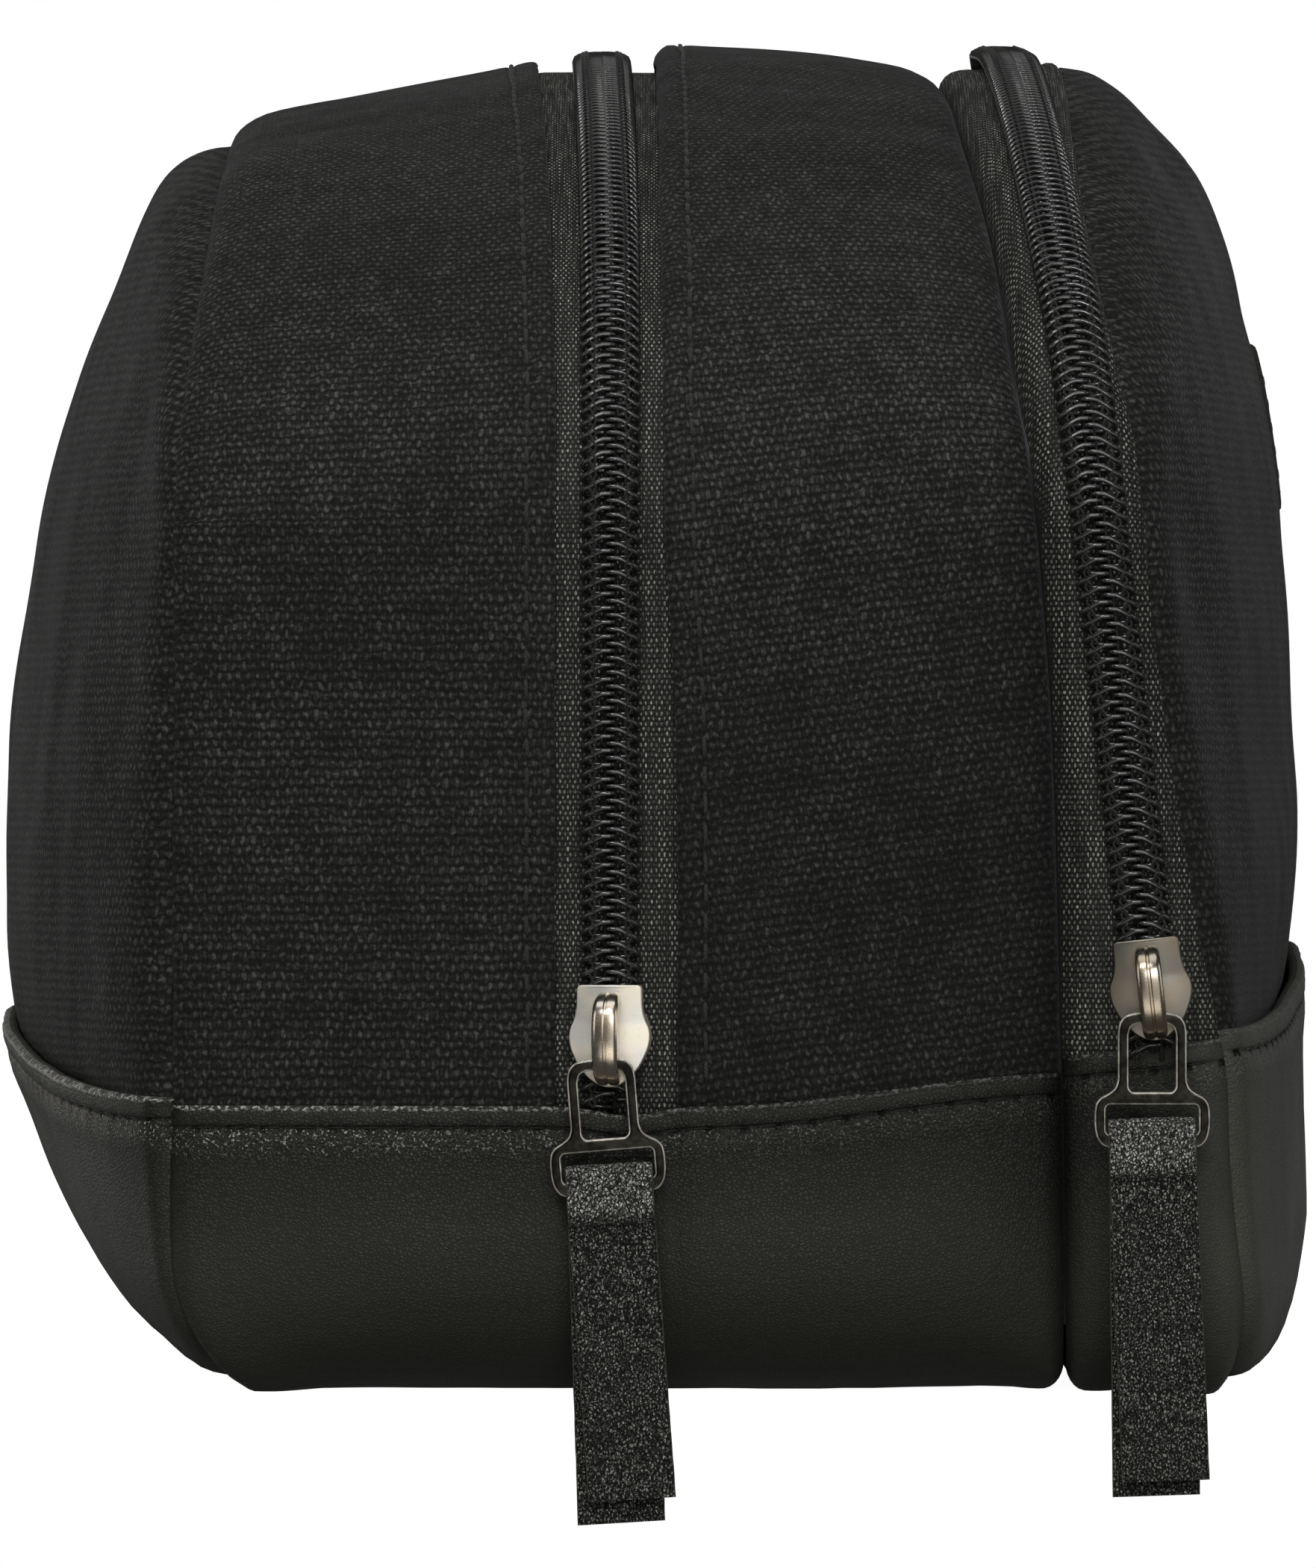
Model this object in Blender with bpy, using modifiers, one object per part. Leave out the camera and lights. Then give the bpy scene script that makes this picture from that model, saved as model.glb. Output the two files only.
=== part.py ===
"""Soft shaving kit bag: canvas upper, leather base, main zip and front pocket zip.

Frame: X is the depth of the bag (+X = front, the pocket side), Y is its length,
Z is up.  The origin is the centre of the base, on the surface the bag rests on.
All driving dimensions are in millimetres; MM turns them into metres.
"""
import math

import bmesh
import bpy
import numpy as np
from mathutils import Matrix, Vector

MM = 0.001

# ---------------------------------------------------------------- dimensions
HALF_LENGTH = 125.0        # end faces, canvas edge beside the zip
CROWN_Z = 145.2            # canvas at the top, half way along
BAND_Z = 31.0              # nominal top of the leather base
BEND_Z = 92.0              # where the straight ends start to bend over
SKIN_Z = 0.8               # skin datum of the bottom; the leather stands out from it
CORNER_R = 16.0            # bottom edge radius of the end strips
REAR_SIDE_X = -51.5        # rear seam on the end faces
LEATHER_PROUD = 0.8
LEATHER_T = 1.6
CANVAS_T = 1.4
FOAM_T = 2.4
LINING_T = 0.6
TAPE_T = 0.6
SEAM_GAP = 0.9             # each side of a seam
EDGE_GAP = 0.4             # canvas to leather
COIL_HALF = 3.0            # half the width of the closed number 5 chain
COIL_GAP = 0.45            # half the gap the slider's post runs in
POCKET_LEAN = math.radians(6.24)
MAIN_LEAN = math.radians(4.6)
MAIN_X = -5.0              # main chain on the near end
LINK_T = 1.3
TAB_W = 9.2
TAB_T = 1.1
CROWN_W = 2.7
PATCH = (22.0, 94.2, 112.7)   # half width, bottom and top of the blank patch

# side view of the upper path: inset from the end plane, height
BEND = [(0.0, BEND_Z), (1.0, 96.3), (2.4, 100.2), (4.4, 104.2), (7.1, 108.0),
        (10.6, 112.0), (15.2, 116.0), (20.9, 120.0), (28.5, 124.2), (41.5, 130.0),
        (56.0, 135.0), (75.0, 139.6), (98.0, 143.4), (HALF_LENGTH, CROWN_Z)]

# section half way along: height, X of the back panel and of the front panel
BACK_MID = [(0.8, -42.6), (3, -50.2), (5, -53.2), (8, -57.0), (13, -61.1), (18, -64.0), (23, -66.3),
            (28, -68.2), (33, -70.0), (38, -71.3), (48, -72.6), (58, -72.8), (68, -72.2),
            (78, -71.0), (88, -69.6), (98, -67.8), (108, -64.8), (118, -60.9),
            (128, -56.4), (133, -52.6), (136.1, -47.3)]
FRONT_MID = [(0.8, 59.5), (1.6, 62.6), (4, 66.4), (8, 68.5), (13, 69.7), (18, 70.4),
             (23, 70.3), (33, 70.0), (43, 69.9), (48, 70.3), (53, 70.8), (61, 71.0), (73, 70.5),
             (83, 70.0), (93, 69.4), (103, 68.4), (108, 67.6), (113, 66.6), (118, 65.3),
             (123, 64.0), (128, 62.2), (133, 59.7), (138, 54.9), (143, 48.8), (145, 45.0)]

COLOURS = {
    "canvas": ((0.018, 0.018, 0.017), 0.9, 0.0),
    "leather": ((0.020, 0.021, 0.018), 0.5, 0.0),
    "tape": ((0.017, 0.017, 0.017), 0.85, 0.0),
    "coil": ((0.015, 0.015, 0.015), 0.35, 0.0),
    "gunmetal": ((0.33, 0.30, 0.26), 0.32, 1.0),
    "tab_leather": ((0.022, 0.022, 0.021), 0.42, 0.0),
    "lining": ((0.045, 0.046, 0.050), 0.8, 0.0),
    "foam": ((0.30, 0.30, 0.29), 0.95, 0.0),
    "board": ((0.16, 0.13, 0.10), 0.85, 0.0),
}


# ---------------------------------------------------------------- curves
def catmull(points, per=10):
    pts = [np.array(p, float) for p in points]
    pts = [2 * pts[0] - pts[1]] + pts + [2 * pts[-1] - pts[-2]]
    out = []
    for i in range(1, len(pts) - 2):
        a, b, c, d = pts[i - 1:i + 3]
        for k in range(per):
            t = k / per
            out.append(0.5 * (2 * b + (c - a) * t + (2 * a - 5 * b + 4 * c - d) * t * t
                              + (3 * b - a - 3 * c + d) * t ** 3))
    out.append(pts[-2])
    return np.array(out)


def smooth(x):
    x = min(1.0, max(0.0, x))
    return x * x * (3 - 2 * x)


def interp(table, x):
    xs = [p[0] for p in table]
    ys = [p[1] for p in table]
    return float(np.interp(x, xs, ys))


_bend = catmull(BEND)
_arc = np.concatenate([[0], np.cumsum(np.hypot(*(np.diff(_bend, axis=0).T)))])
BEND_L = BEND_Z - BAND_Z
HALF_L = BEND_L + float(_arc[-1])          # path length from the band to the crown
CORNER_L = -(BAND_Z - SKIN_Z - CORNER_R)   # where the bottom corner starts
FLAT_L = CORNER_L - CORNER_R * math.pi / 2


def raw_path(L):
    """Point (y, z) of the near half of the path that the zips follow."""
    if L > BEND_L:
        d = np.interp(L - BEND_L, _arc, _bend[:, 0])
        z = np.interp(L - BEND_L, _arc, _bend[:, 1])
        return np.array((-HALF_LENGTH + d, z))
    if L >= CORNER_L:
        return np.array((-HALF_LENGTH, BAND_Z + L))
    if L >= FLAT_L:
        a = (CORNER_L - L) / CORNER_R
        return np.array((-HALF_LENGTH + CORNER_R * (1 - math.cos(a)),
                         SKIN_Z + CORNER_R * (1 - math.sin(a))))
    return np.array((-HALF_LENGTH + CORNER_R + (FLAT_L - L), SKIN_Z))


def path(L):
    """Point and outward normal, over the top to the far end as well."""
    flip = L > HALF_L
    if flip:
        L = 2 * HALF_L - L
    e = 0.8
    p = raw_path(L)
    a, b = raw_path(L - e), raw_path(min(L + e, HALF_L))
    t = (b - a) / np.linalg.norm(b - a)
    n = np.array((-t[1], t[0]))
    if abs(L - HALF_L) < 1e-6:
        n = np.array((0.0, 1.0))
    if flip:
        p[0], n[0] = -p[0], -n[0]
    return p, n


def end_weight(L):
    L = min(L, 2 * HALF_L - L)
    return smooth((L - FLAT_L) / (CORNER_L - FLAT_L))


def near(L):
    return min(L, 2 * HALF_L - L)


def rear_inset(L):
    L = near(L)
    return end_weight(L) * interp([(-20, -6), (BEND_L, -6), (130, -6.2), (165, -7.8), (HALF_L, -9.1)], L)


def front_inset(L):
    L = near(L)
    return end_weight(L) * interp([(-20, -3), (BEND_L, -3), (120, -1.2), (HALF_L, -0.2)], L)


def valley_inset(L):
    L = near(L)
    w = end_weight(L)
    return w * interp([(-20, -4.5), (BEND_L, -4.5), (120, -3.2), (HALF_L, -2.6)], L) - 0.4 * (1 - w)


def loop(inset):
    """Upper and lower outline of a side panel: tables of |y| to height."""
    up, low = [], []
    for k in range(161):
        L = BEND_L + (HALF_L - BEND_L) * k / 160
        p, n = path(L)
        q = p + n * inset(L)
        up.append((-q[0], q[1]))
    for k in range(41):
        L = CORNER_L + (FLAT_L - CORNER_L) * k / 40
        p, n = path(L)
        q = p + n * inset(L)
        low.append((-q[0], q[1]))
    return sorted(up), sorted(low)


REAR_UP, REAR_LOW = loop(rear_inset)
FRONT_UP, FRONT_LOW = loop(front_inset)
REAR_Y = HALF_LENGTH - 6.0
FRONT_Y = HALF_LENGTH - 3.0


def bulge(y, half):
    t = min(1.0, abs(y) / half)
    return (1 - t ** 3.2) ** 0.8


def rear_side_x(z):
    """X of the rear seam on the end faces, drawn in towards the base."""
    return interp([(0.8, -43.0), (1.8, -45.4), (4, -48.2), (8, -50.6), (13, -51.6), (20, -51.8),
                   (31, REAR_SIDE_X), (150, REAR_SIDE_X)], z)


def front_side_x(z):
    """X of the front seam on the end faces."""
    return interp([(0, 59.0), (2, 60.9), (5, 61.9), (9.5, 62.1), (16.7, 61.2), (25, 60.5), (31, 60.3), (49, 57.2), (70, 53.8), (88, 51.8), (101, 51.2),
                   (110, 50.0), (123, 48.4), (145, 45.2)], z)


def squeeze(y, z, up, low, top):
    """Height on the mid section that matches (y, z) on the panel."""
    z1, z0 = interp(up, abs(y)), interp(low, abs(y))
    if z >= BAND_Z:
        return BAND_Z + (z - BAND_Z) * (top - BAND_Z) / (z1 - BAND_Z)
    return SKIN_Z + (z - z0) * (BAND_Z - SKIN_Z) / (BAND_Z - z0)


def back_x(y, z):
    zz = squeeze(y, z, REAR_UP, REAR_LOW, BACK_MID[-1][0])
    s = rear_side_x(z)
    return s + (interp(BACK_MID, zz) - s) * bulge(y, REAR_Y)


def front_x(y, z):
    zz = squeeze(y, z, FRONT_UP, FRONT_LOW, FRONT_MID[-1][0])
    s = front_side_x(z)
    return s + (interp(FRONT_MID, zz) - s) * bulge(y, FRONT_Y)


# ---------------------------------------------------------------- rails (X along the path)
def x_rear_seam(L):
    p, n = path(L)
    q = p + n * rear_inset(L)
    return back_x(q[0], q[1])


def x_front_seam(L):
    p, n = path(L)
    q = p + n * front_inset(L)
    return front_x(q[0], q[1])


def x_main(L):
    return MAIN_X - 1.3 * smooth((near(L) - 70) / (HALF_L - 70))


def x_rear_edge(L):
    return -10.8 - 2.6 * smooth((near(L) - 61) / (HALF_L - 61))


def x_mid_edge(L):
    return interp([(0, 2.1), (20, 2.05), (38, 1.8), (61, 0.75), (HALF_L, -0.5)], near(L))


def x_valley(L):
    return interp([(-60, 43.2), (0, 42.6), (39, 41.6), (57, 40.3), (70, 39.2), (81, 37.9),
                   (103, 36.3), (140, 33.5), (HALF_L, 31.0)], near(L))


def x_pocket(L):
    L = near(L)
    if L <= 62:
        return 53.0 - math.tan(POCKET_LEAN) * L
    return interp([(62, 53.0 - math.tan(POCKET_LEAN) * 62), (81, 44.3), (103, 42.2),
                   (140, 40.1), (HALF_L, 38.0)], L)


def lift(x, L, leather=False):
    """How far the skin stands out of the path at X, along its normal."""
    xs, xe, xm, xv = x_rear_seam(L), x_rear_edge(L), x_mid_edge(L), x_valley(L)
    w = end_weight(L)
    top = smooth((near(L) - 61) / (HALF_L - 61))
    if x <= xe:
        t = min(1.0, max(0.0, (x - xs) / (xe - xs)))
        return rear_inset(L) * (0.3 * (1 - t) ** 8 + 0.7 * (1 - t) ** 0.8)
    if x <= xm:
        return 0.0
    if x <= xv:
        t = (x - xm) / (xv - xm)
        return (0.4 + 0.9 * top) * w * (1 - t) * smooth(t * 12 + 0.3) + valley_inset(L) * t ** 5
    xf, xc = x_front_seam(L), x_pocket(L)
    base = -1.3 * w
    if x <= xc:
        t = max(0.0, (x - xv) / (xc - xv))
        return (valley_inset(L) - base) * (1 - t) ** 4 + base
    t = min(1.0, (x - xc) / (xf - xc))
    return base + (front_inset(L) - base) * t ** 2


def skin(x, L):
    p, n = path(L)
    h = lift(x, L)
    q = p + n * h
    return np.array((x, q[0], q[1]))


# ---------------------------------------------------------------- scene helpers
for old in list(bpy.data.objects):
    bpy.data.objects.remove(old, do_unlink=True)

BAG = bpy.data.collections.new("shaving_kit_bag")
bpy.context.scene.collection.children.link(BAG)
CUTTERS = bpy.data.collections.new("cutters")
bpy.context.scene.collection.children.link(CUTTERS)


def material(node, slot):
    m = bpy.data.materials.new(node)
    m.use_nodes = True
    shader = m.node_tree.nodes["Principled BSDF"]
    colour, rough, metal = COLOURS[slot]
    shader.inputs["Base Color"].default_value = (*colour, 1.0)
    shader.inputs["Roughness"].default_value = rough
    shader.inputs["Metallic"].default_value = metal
    m.diffuse_color = (*colour, 1.0)
    return m


def add(name, mesh, slot, place=None):
    ob = bpy.data.objects.new(name, mesh)
    if place is not None:
        ob.matrix_world = place
    BAG.objects.link(ob)
    mesh.materials.clear()
    mesh.materials.append(material(name, slot))
    return ob


def sheet(name, fn, us, vs, slot, depth, thick, outward):
    """An open grid laid on fn(u, v), moved in by depth, with Solidify inwards."""
    bm = bmesh.new()
    nu, nv = len(us), len(vs)
    bmesh.ops.create_grid(bm, x_segments=nu - 1, y_segments=nv - 1, size=1.0)
    for v in bm.verts:
        i = int(round((v.co.x + 1) / 2 * (nu - 1)))
        j = int(round((v.co.y + 1) / 2 * (nv - 1)))
        v.co = Vector(fn(us[i], vs[j])) * MM
    bm.normal_update()
    bm.faces.ensure_lookup_table()
    score = sum(f.normal.dot(Vector(outward(*(f.calc_center_median() / MM)))) * f.calc_area()
                for f in bm.faces)
    if score < 0:
        bmesh.ops.reverse_faces(bm, faces=bm.faces[:])
        bm.normal_update()
    moves = [(v, v.normal.copy()) for v in bm.verts]
    for v, n in moves:
        v.co -= n * depth * MM
    mesh = bpy.data.meshes.new(name)
    bm.to_mesh(mesh)
    bm.free()
    mesh.shade_smooth()
    ob = add(name, mesh, slot)
    mod = ob.modifiers.new("thickness", "SOLIDIFY")
    mod.thickness = thick * MM
    mod.offset = -1.0
    return ob


def plate_mesh(name, outlines, half):
    """Flat plate from 2D outlines in local X-Y, half thick each way along Z."""
    cu = bpy.data.curves.new(name + "_outline", "CURVE")
    cu.dimensions = "2D"
    cu.fill_mode = "BOTH"
    cu.extrude = half * MM
    for pts in outlines:
        sp = cu.splines.new("POLY")
        sp.points.add(len(pts) - 1)
        for k, (a, b) in enumerate(pts):
            sp.points[k].co = (a * MM, b * MM, 0, 1)
        sp.use_cyclic_u = True
    ob = bpy.data.objects.new(name + "_outline", cu)
    BAG.objects.link(ob)
    bpy.context.view_layer.update()
    mesh = bpy.data.meshes.new_from_object(ob.evaluated_get(bpy.context.evaluated_depsgraph_get()))
    bpy.data.objects.remove(ob, do_unlink=True)
    bm = bmesh.new()
    bm.from_mesh(mesh)
    bmesh.ops.remove_doubles(bm, verts=bm.verts[:], dist=0.00001)
    bmesh.ops.recalc_face_normals(bm, faces=bm.faces[:])
    bm.to_mesh(mesh)
    bm.free()
    mesh.name = name
    return mesh


def box_mesh(name, lo, hi):
    bm = bmesh.new()
    bmesh.ops.create_cube(bm, size=1.0)
    for v in bm.verts:
        v.co = Vector([(lo[k] + (hi[k] - lo[k]) * (v.co[k] + 0.5)) * MM for k in range(3)])
    mesh = bpy.data.meshes.new(name)
    bm.to_mesh(mesh)
    bm.free()
    return mesh


# plate frames: local X right, local Y up, local Z towards the viewer of the near end
def upright(x, y, z, lean=0.0):
    return (Matrix.Translation(Vector((x, y, z)) * MM)
            @ Matrix.Rotation(-lean, 4, "Y") @ Matrix.Rotation(math.pi / 2, 4, "X"))


# ---------------------------------------------------------------- sampling along the path
def rows(z_low, lining=False):
    """Path stations from the near band over the top to the far band."""
    lo = z_low - BAND_Z
    near_side = [lo, lo + (BEND_L - lo) * 0.5, BEND_L]
    bend = [BEND_L + d for d in (9, 18, 28, 40, 56, 80, 110)]
    half = near_side + bend
    return half + [HALF_L] + [2 * HALF_L - v for v in reversed(half)]


def end_top(x):
    """Top of the leather on the end faces, main part."""
    return 30.2 + 3.4 * smooth((x - 5) / 38.0)


def pocket_top(x):
    return 35.4 + 0.11 * (x - 43)


def strip(name, x0, x1, cols, slot, depth, thick, low=None, bias=None):
    """Strip of the upper loop between two rails."""
    base = rows(BAND_Z)
    n = len(base)

    def fn(u, k):
        L = base[int(k)]
        x = x0(L) + (x1(L) - x0(L)) * u
        if low is not None:
            k = int(k)
            start = low(x) + 2 * EDGE_GAP - BAND_Z
            if k in (0, 1):
                L = start + (BEND_L - start) * 0.5 * k
            elif k in (n - 1, n - 2):
                L = 2 * HALF_L - (start + (BEND_L - start) * 0.5 * (n - 1 - k))
            x = x0(L) + (x1(L) - x0(L)) * u
        return skin(x, L)

    return sheet(name, fn, cols, list(range(n)), slot, depth, thick,
                 lambda x, y, z: (0, y / 125.0, (z - 60) / 85.0))


def lower_strip(name, x0, x1, cols, slot, depth, thick, top):
    """U-shaped strip: near band top, down, under the base, up the far end."""
    marks = [0.0, 0.5, 1.0]
    corner = [CORNER_L + (FLAT_L - CORNER_L) * k / 5 for k in range(1, 6)]
    under = [FLAT_L - d for d in (10, 22, 38, 60, 85)]
    bottom = FLAT_L - (HALF_LENGTH - CORNER_R)
    turns = corner + under
    total = len(marks) + len(turns)
    n = 2 * total + 1

    def station(k, x):
        if k < 3:
            hi = top(x) - BAND_Z
            return hi + (CORNER_L - hi) * marks[k]
        if k < total:
            return turns[k - 3]
        return bottom

    def fn(u, k):
        k = int(k)
        far = k > total
        kk = n - 1 - k if far else k
        x = x0(0.0) + (x1(0.0) - x0(0.0)) * u
        L = station(kk, x)
        x = x0(L) + (x1(L) - x0(L)) * u
        p = skin(x, L)
        if far:
            p[1] = -p[1]
        return p

    return sheet(name, fn, cols, list(range(n)), slot, depth, thick,
                 lambda x, y, z: (0, y / 125.0, (z - 60) / 85.0))


# ---------------------------------------------------------------- side panels
def back_band(y):
    t = min(1.0, abs(y) / REAR_Y)
    return 31.0 + 8.4 * (1 - t * t) ** 1.6


def front_band(y):
    t = min(1.0, abs(y) / FRONT_Y)
    return 38.2 + 8.3 * (1 - t * t) ** 1.6


def y_stations(half, gap, count=16):
    return [(half - gap) * math.sin(math.pi / 2 * (2.0 * k / count - 1)) for k in range(count + 1)]


def panel(name, xf, up, low, band, side, half, gap, upper, slot, depth, thick, nz, skip=0,
          rng=None):
    ys = y_stations(half, gap)
    vs = [k / nz for k in range(nz + 1)]
    if upper:
        vs = [1 - (1 - v) ** 1.5 for v in vs]
    else:
        vs = [v ** 1.6 for v in vs]
    if skip:
        ys = ys[skip:-skip]
        vs = vs[:-1] if upper else vs[1:]

    def fn(y, v):
        z1, z0 = interp(up, abs(y)) - gap, interp(low, abs(y)) + gap * (0.2 if abs(y) < 100 else 1.0)
        b = band(y)
        if upper:
            z = b + EDGE_GAP + (z1 - b - EDGE_GAP) * v
        else:
            z = z0 + (b - z0) * v
        return (xf(y, z), y, z)

    return sheet(name, fn, ys, vs, slot, depth, thick, lambda x, y, z: (side, 0, 0))


panel("canvas_back_panel", back_x, REAR_UP, REAR_LOW, back_band, -1, REAR_Y, SEAM_GAP,
      True, "canvas", 0.0, CANVAS_T, 8)
panel("canvas_front_panel", front_x, FRONT_UP, FRONT_LOW, front_band, 1, FRONT_Y, SEAM_GAP,
      True, "canvas", 0.0, CANVAS_T, 8)
panel("leather_back_band", back_x, REAR_UP, REAR_LOW, back_band, -1, REAR_Y, SEAM_GAP,
      False, "leather", -LEATHER_PROUD, LEATHER_T, 5)
panel("leather_front_band", front_x, FRONT_UP, FRONT_LOW, front_band, 1, FRONT_Y, SEAM_GAP,
      False, "leather", -LEATHER_PROUD, LEATHER_T, 5)
panel("foam_back_panel", back_x, REAR_UP, REAR_LOW, back_band, -1, REAR_Y, SEAM_GAP,
      True, "foam", CANVAS_T + 0.4, FOAM_T, 8, skip=2)
panel("foam_front_panel", front_x, FRONT_UP, FRONT_LOW, front_band, 1, FRONT_Y, SEAM_GAP,
      True, "foam", CANVAS_T + 0.4, FOAM_T, 8, skip=2)

# ---------------------------------------------------------------- gusset strips
gap = SEAM_GAP
lin = lambda a, b, k: [a + (b - a) * i / k for i in range(k + 1)]

strip("canvas_gusset_rear", lambda L: x_rear_seam(L) + gap, x_rear_edge,
      [0, 0.06, 0.18, 0.45, 0.75, 1.0], "canvas", 0.0, CANVAS_T, low=end_top)
strip("canvas_gusset_mid", x_mid_edge, lambda L: x_valley(L) - gap,
      [0, 0.3, 0.6, 0.8, 0.92, 1.0], "canvas", 0.0, CANVAS_T, low=end_top)

# ---------------------------------------------------------------- zips
def rail_strip(name, x0, x1, slot, h, thick, low_z, cols=(0.0, 1.0)):
    """Narrow strip at a constant height h over the path."""
    base = rows(low_z)

    def fn(u, k):
        L = base[int(k)]
        x = x0(L) + (x1(L) - x0(L)) * u
        p, n = path(L)
        q = p + n * (h(x, L) if callable(h) else h)
        return (x, q[0], q[1])

    return sheet(name, fn, list(cols), list(range(len(base))), slot, 0.0, thick,
                 lambda x, y, z: (0, y / 125.0, (z - 60) / 85.0))


TAPE_H = -1.8
rail_strip("main_zip_tape_rear", lambda L: x_rear_edge(L) - 5.0, lambda L: x_main(L) - 0.5,
           "tape", lambda x, L: TAPE_H + min(0.0, lift(x, L)), TAPE_T, 31.0, (0, 0.45, 1.0))
rail_strip("main_zip_tape_mid", lambda L: x_main(L) + 0.5, lambda L: x_mid_edge(L) + 5.0,
           "tape", TAPE_H, TAPE_T, 31.5, (0, 0.55, 1.0))
rail_strip("main_zip_coil_rear", lambda L: x_main(L) - COIL_HALF, lambda L: x_main(L) - COIL_GAP,
           "coil", 0.6, 2.1, 31.0)
rail_strip("main_zip_coil_mid", lambda L: x_main(L) + COIL_GAP, lambda L: x_main(L) + COIL_HALF,
           "coil", 0.6, 2.1, 31.0)

strip("pocket_zip_tape_rear", lambda L: x_valley(L) + gap, lambda L: x_pocket(L) - 0.5,
      [0, 0.12, 0.35, 1.0], "tape", 0.0, TAPE_T, low=pocket_top)
strip("pocket_zip_tape_front", lambda L: x_pocket(L) + 0.5, lambda L: x_front_seam(L) - gap,
      [0, 0.5, 1.0], "tape", 0.0, TAPE_T, low=pocket_top)
rail_strip("pocket_zip_coil_rear", lambda L: x_pocket(L) - COIL_HALF,
           lambda L: x_pocket(L) - COIL_GAP, "coil", 1.2, 2.1, 37.2)
rail_strip("pocket_zip_coil_front", lambda L: x_pocket(L) + COIL_GAP,
           lambda L: x_pocket(L) + COIL_HALF, "coil", 1.2, 2.1, 37.2)

# ---------------------------------------------------------------- leather base strips
lower_strip("leather_base_strip", lambda L: x_rear_seam(L) + gap, lambda L: x_valley(L) - gap,
            [0, 0.04, 0.12, 0.3, 0.55, 0.8, 0.93, 1.0], "leather", -LEATHER_PROUD, LEATHER_T,
            end_top)
lower_strip("leather_pocket_strip", lambda L: x_valley(L) + gap, lambda L: x_front_seam(L) - gap,
            [0, 0.15, 0.5, 1.0], "leather", -LEATHER_PROUD, LEATHER_T, pocket_top)

# ---------------------------------------------------------------- linings and inner pieces
deep = CANVAS_T + 0.4 + FOAM_T + 0.4
panel("lining_back_panel", back_x, REAR_UP, REAR_LOW, back_band, -1, REAR_Y, SEAM_GAP,
      True, "lining", deep, LINING_T, 8, skip=2)
panel("lining_front_panel", front_x, FRONT_UP, FRONT_LOW, front_band, 1, FRONT_Y, SEAM_GAP,
      True, "lining", deep, LINING_T, 8, skip=2)
strip("lining_gusset_rear", lambda L: x_rear_seam(L) + 7.5, lambda L: x_rear_edge(L) - 6.0,
      [0, 0.25, 0.6, 1.0], "lining", 2.9, LINING_T, low=lambda x: 31.5)
strip("lining_gusset_mid", lambda L: x_mid_edge(L) + 6.0, lambda L: x_valley(L) - 7.0,
      [0, 0.4, 0.8, 1.0], "lining", 2.9, LINING_T, low=lambda x: 34.0)
lower_strip("lining_bottom", lambda L: REAR_SIDE_X + 9.0, lambda L: 36.0,
            [0, 0.3, 0.7, 1.0], "lining", 5.0, LINING_T, lambda x: 28.0)
lower_strip("lining_pocket_bottom", lambda L: 46.5, lambda L: 57.5,
            [0, 0.5, 1.0], "lining", 3.2, LINING_T, lambda x: 33.0)

add("base_board", box_mesh("base_board", (-41.0, -104.0, 2.3), (29.0, 104.0, 4.3)), "board")

# divider between the main compartment and the pocket, hung from the valley seam
def divider(y, v):
    ring = VALLEY_UP
    z1 = interp(ring, abs(y)) - 3.5
    z = 7.0 + (z1 - 7.0) * v
    return (interp([(0, 43.6), (31, 42.9), (70, 41.4), (92, 39.9), (112, 37.6), (142, 32.4)], z),
            y, z)


VALLEY_UP, VALLEY_LOW = loop(valley_inset)
sheet("divider_panel", divider, y_stations(HALF_LENGTH - 4.5, 4.0, 12),
      [0, 0.25, 0.5, 0.7, 0.85, 1.0], "lining", -0.6, 1.2, lambda x, y, z: (1, 0, 0))

# blank stitched patch on the front panel
sheet("front_patch", lambda y, z: (front_x(y, z), y, z),
      [PATCH[0] * (k / 3.0 - 1) for k in range(7)],
      [PATCH[1] + (PATCH[2] - PATCH[1]) * k / 3 for k in range(4)],
      "leather", -1.05, 0.8, lambda x, y, z: (1, 0, 0))


# ---------------------------------------------------------------- sliders and pulls
SHIELD = [(0, 10.9), (3.4, 10.9), (3.45, 8.2), (4.1, 6.2), (4.3, 5.3), (4.0, 3.8), (3.0, 1.8),
          (1.6, 0.4), (0, 0.0)]
LINK_OUT = [(0, 0.55), (2.9, 0.55), (3.4, 0.35), (3.6, -0.2), (3.6, -6.6), (3.9, -7.4),
            (4.6, -7.9), (5.4, -8.3), (5.9, -8.9), (6.05, -9.8), (6.05, -11.4), (5.8, -12.6),
            (5.2, -13.35), (4.6, -13.55), (0, -13.55)]
LINK_WINDOW = [(0, -0.55), (2.45, -0.55), (2.45, -7.75), (0, -7.75)]
LINK_LOOP = [(0, -9.05), (4.6, -9.05), (4.9, -9.4), (4.9, -11.9), (4.55, -12.25), (0, -12.25)]
BAR = 12.9                  # top bar centre to lower bar centre


def outline(half):
    """Symmetric outline from its right half, which starts and ends on the centre line."""
    left = [(-a, b) for a, b in half if abs(a) > 1e-9]
    return half + list(reversed(left))


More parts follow.
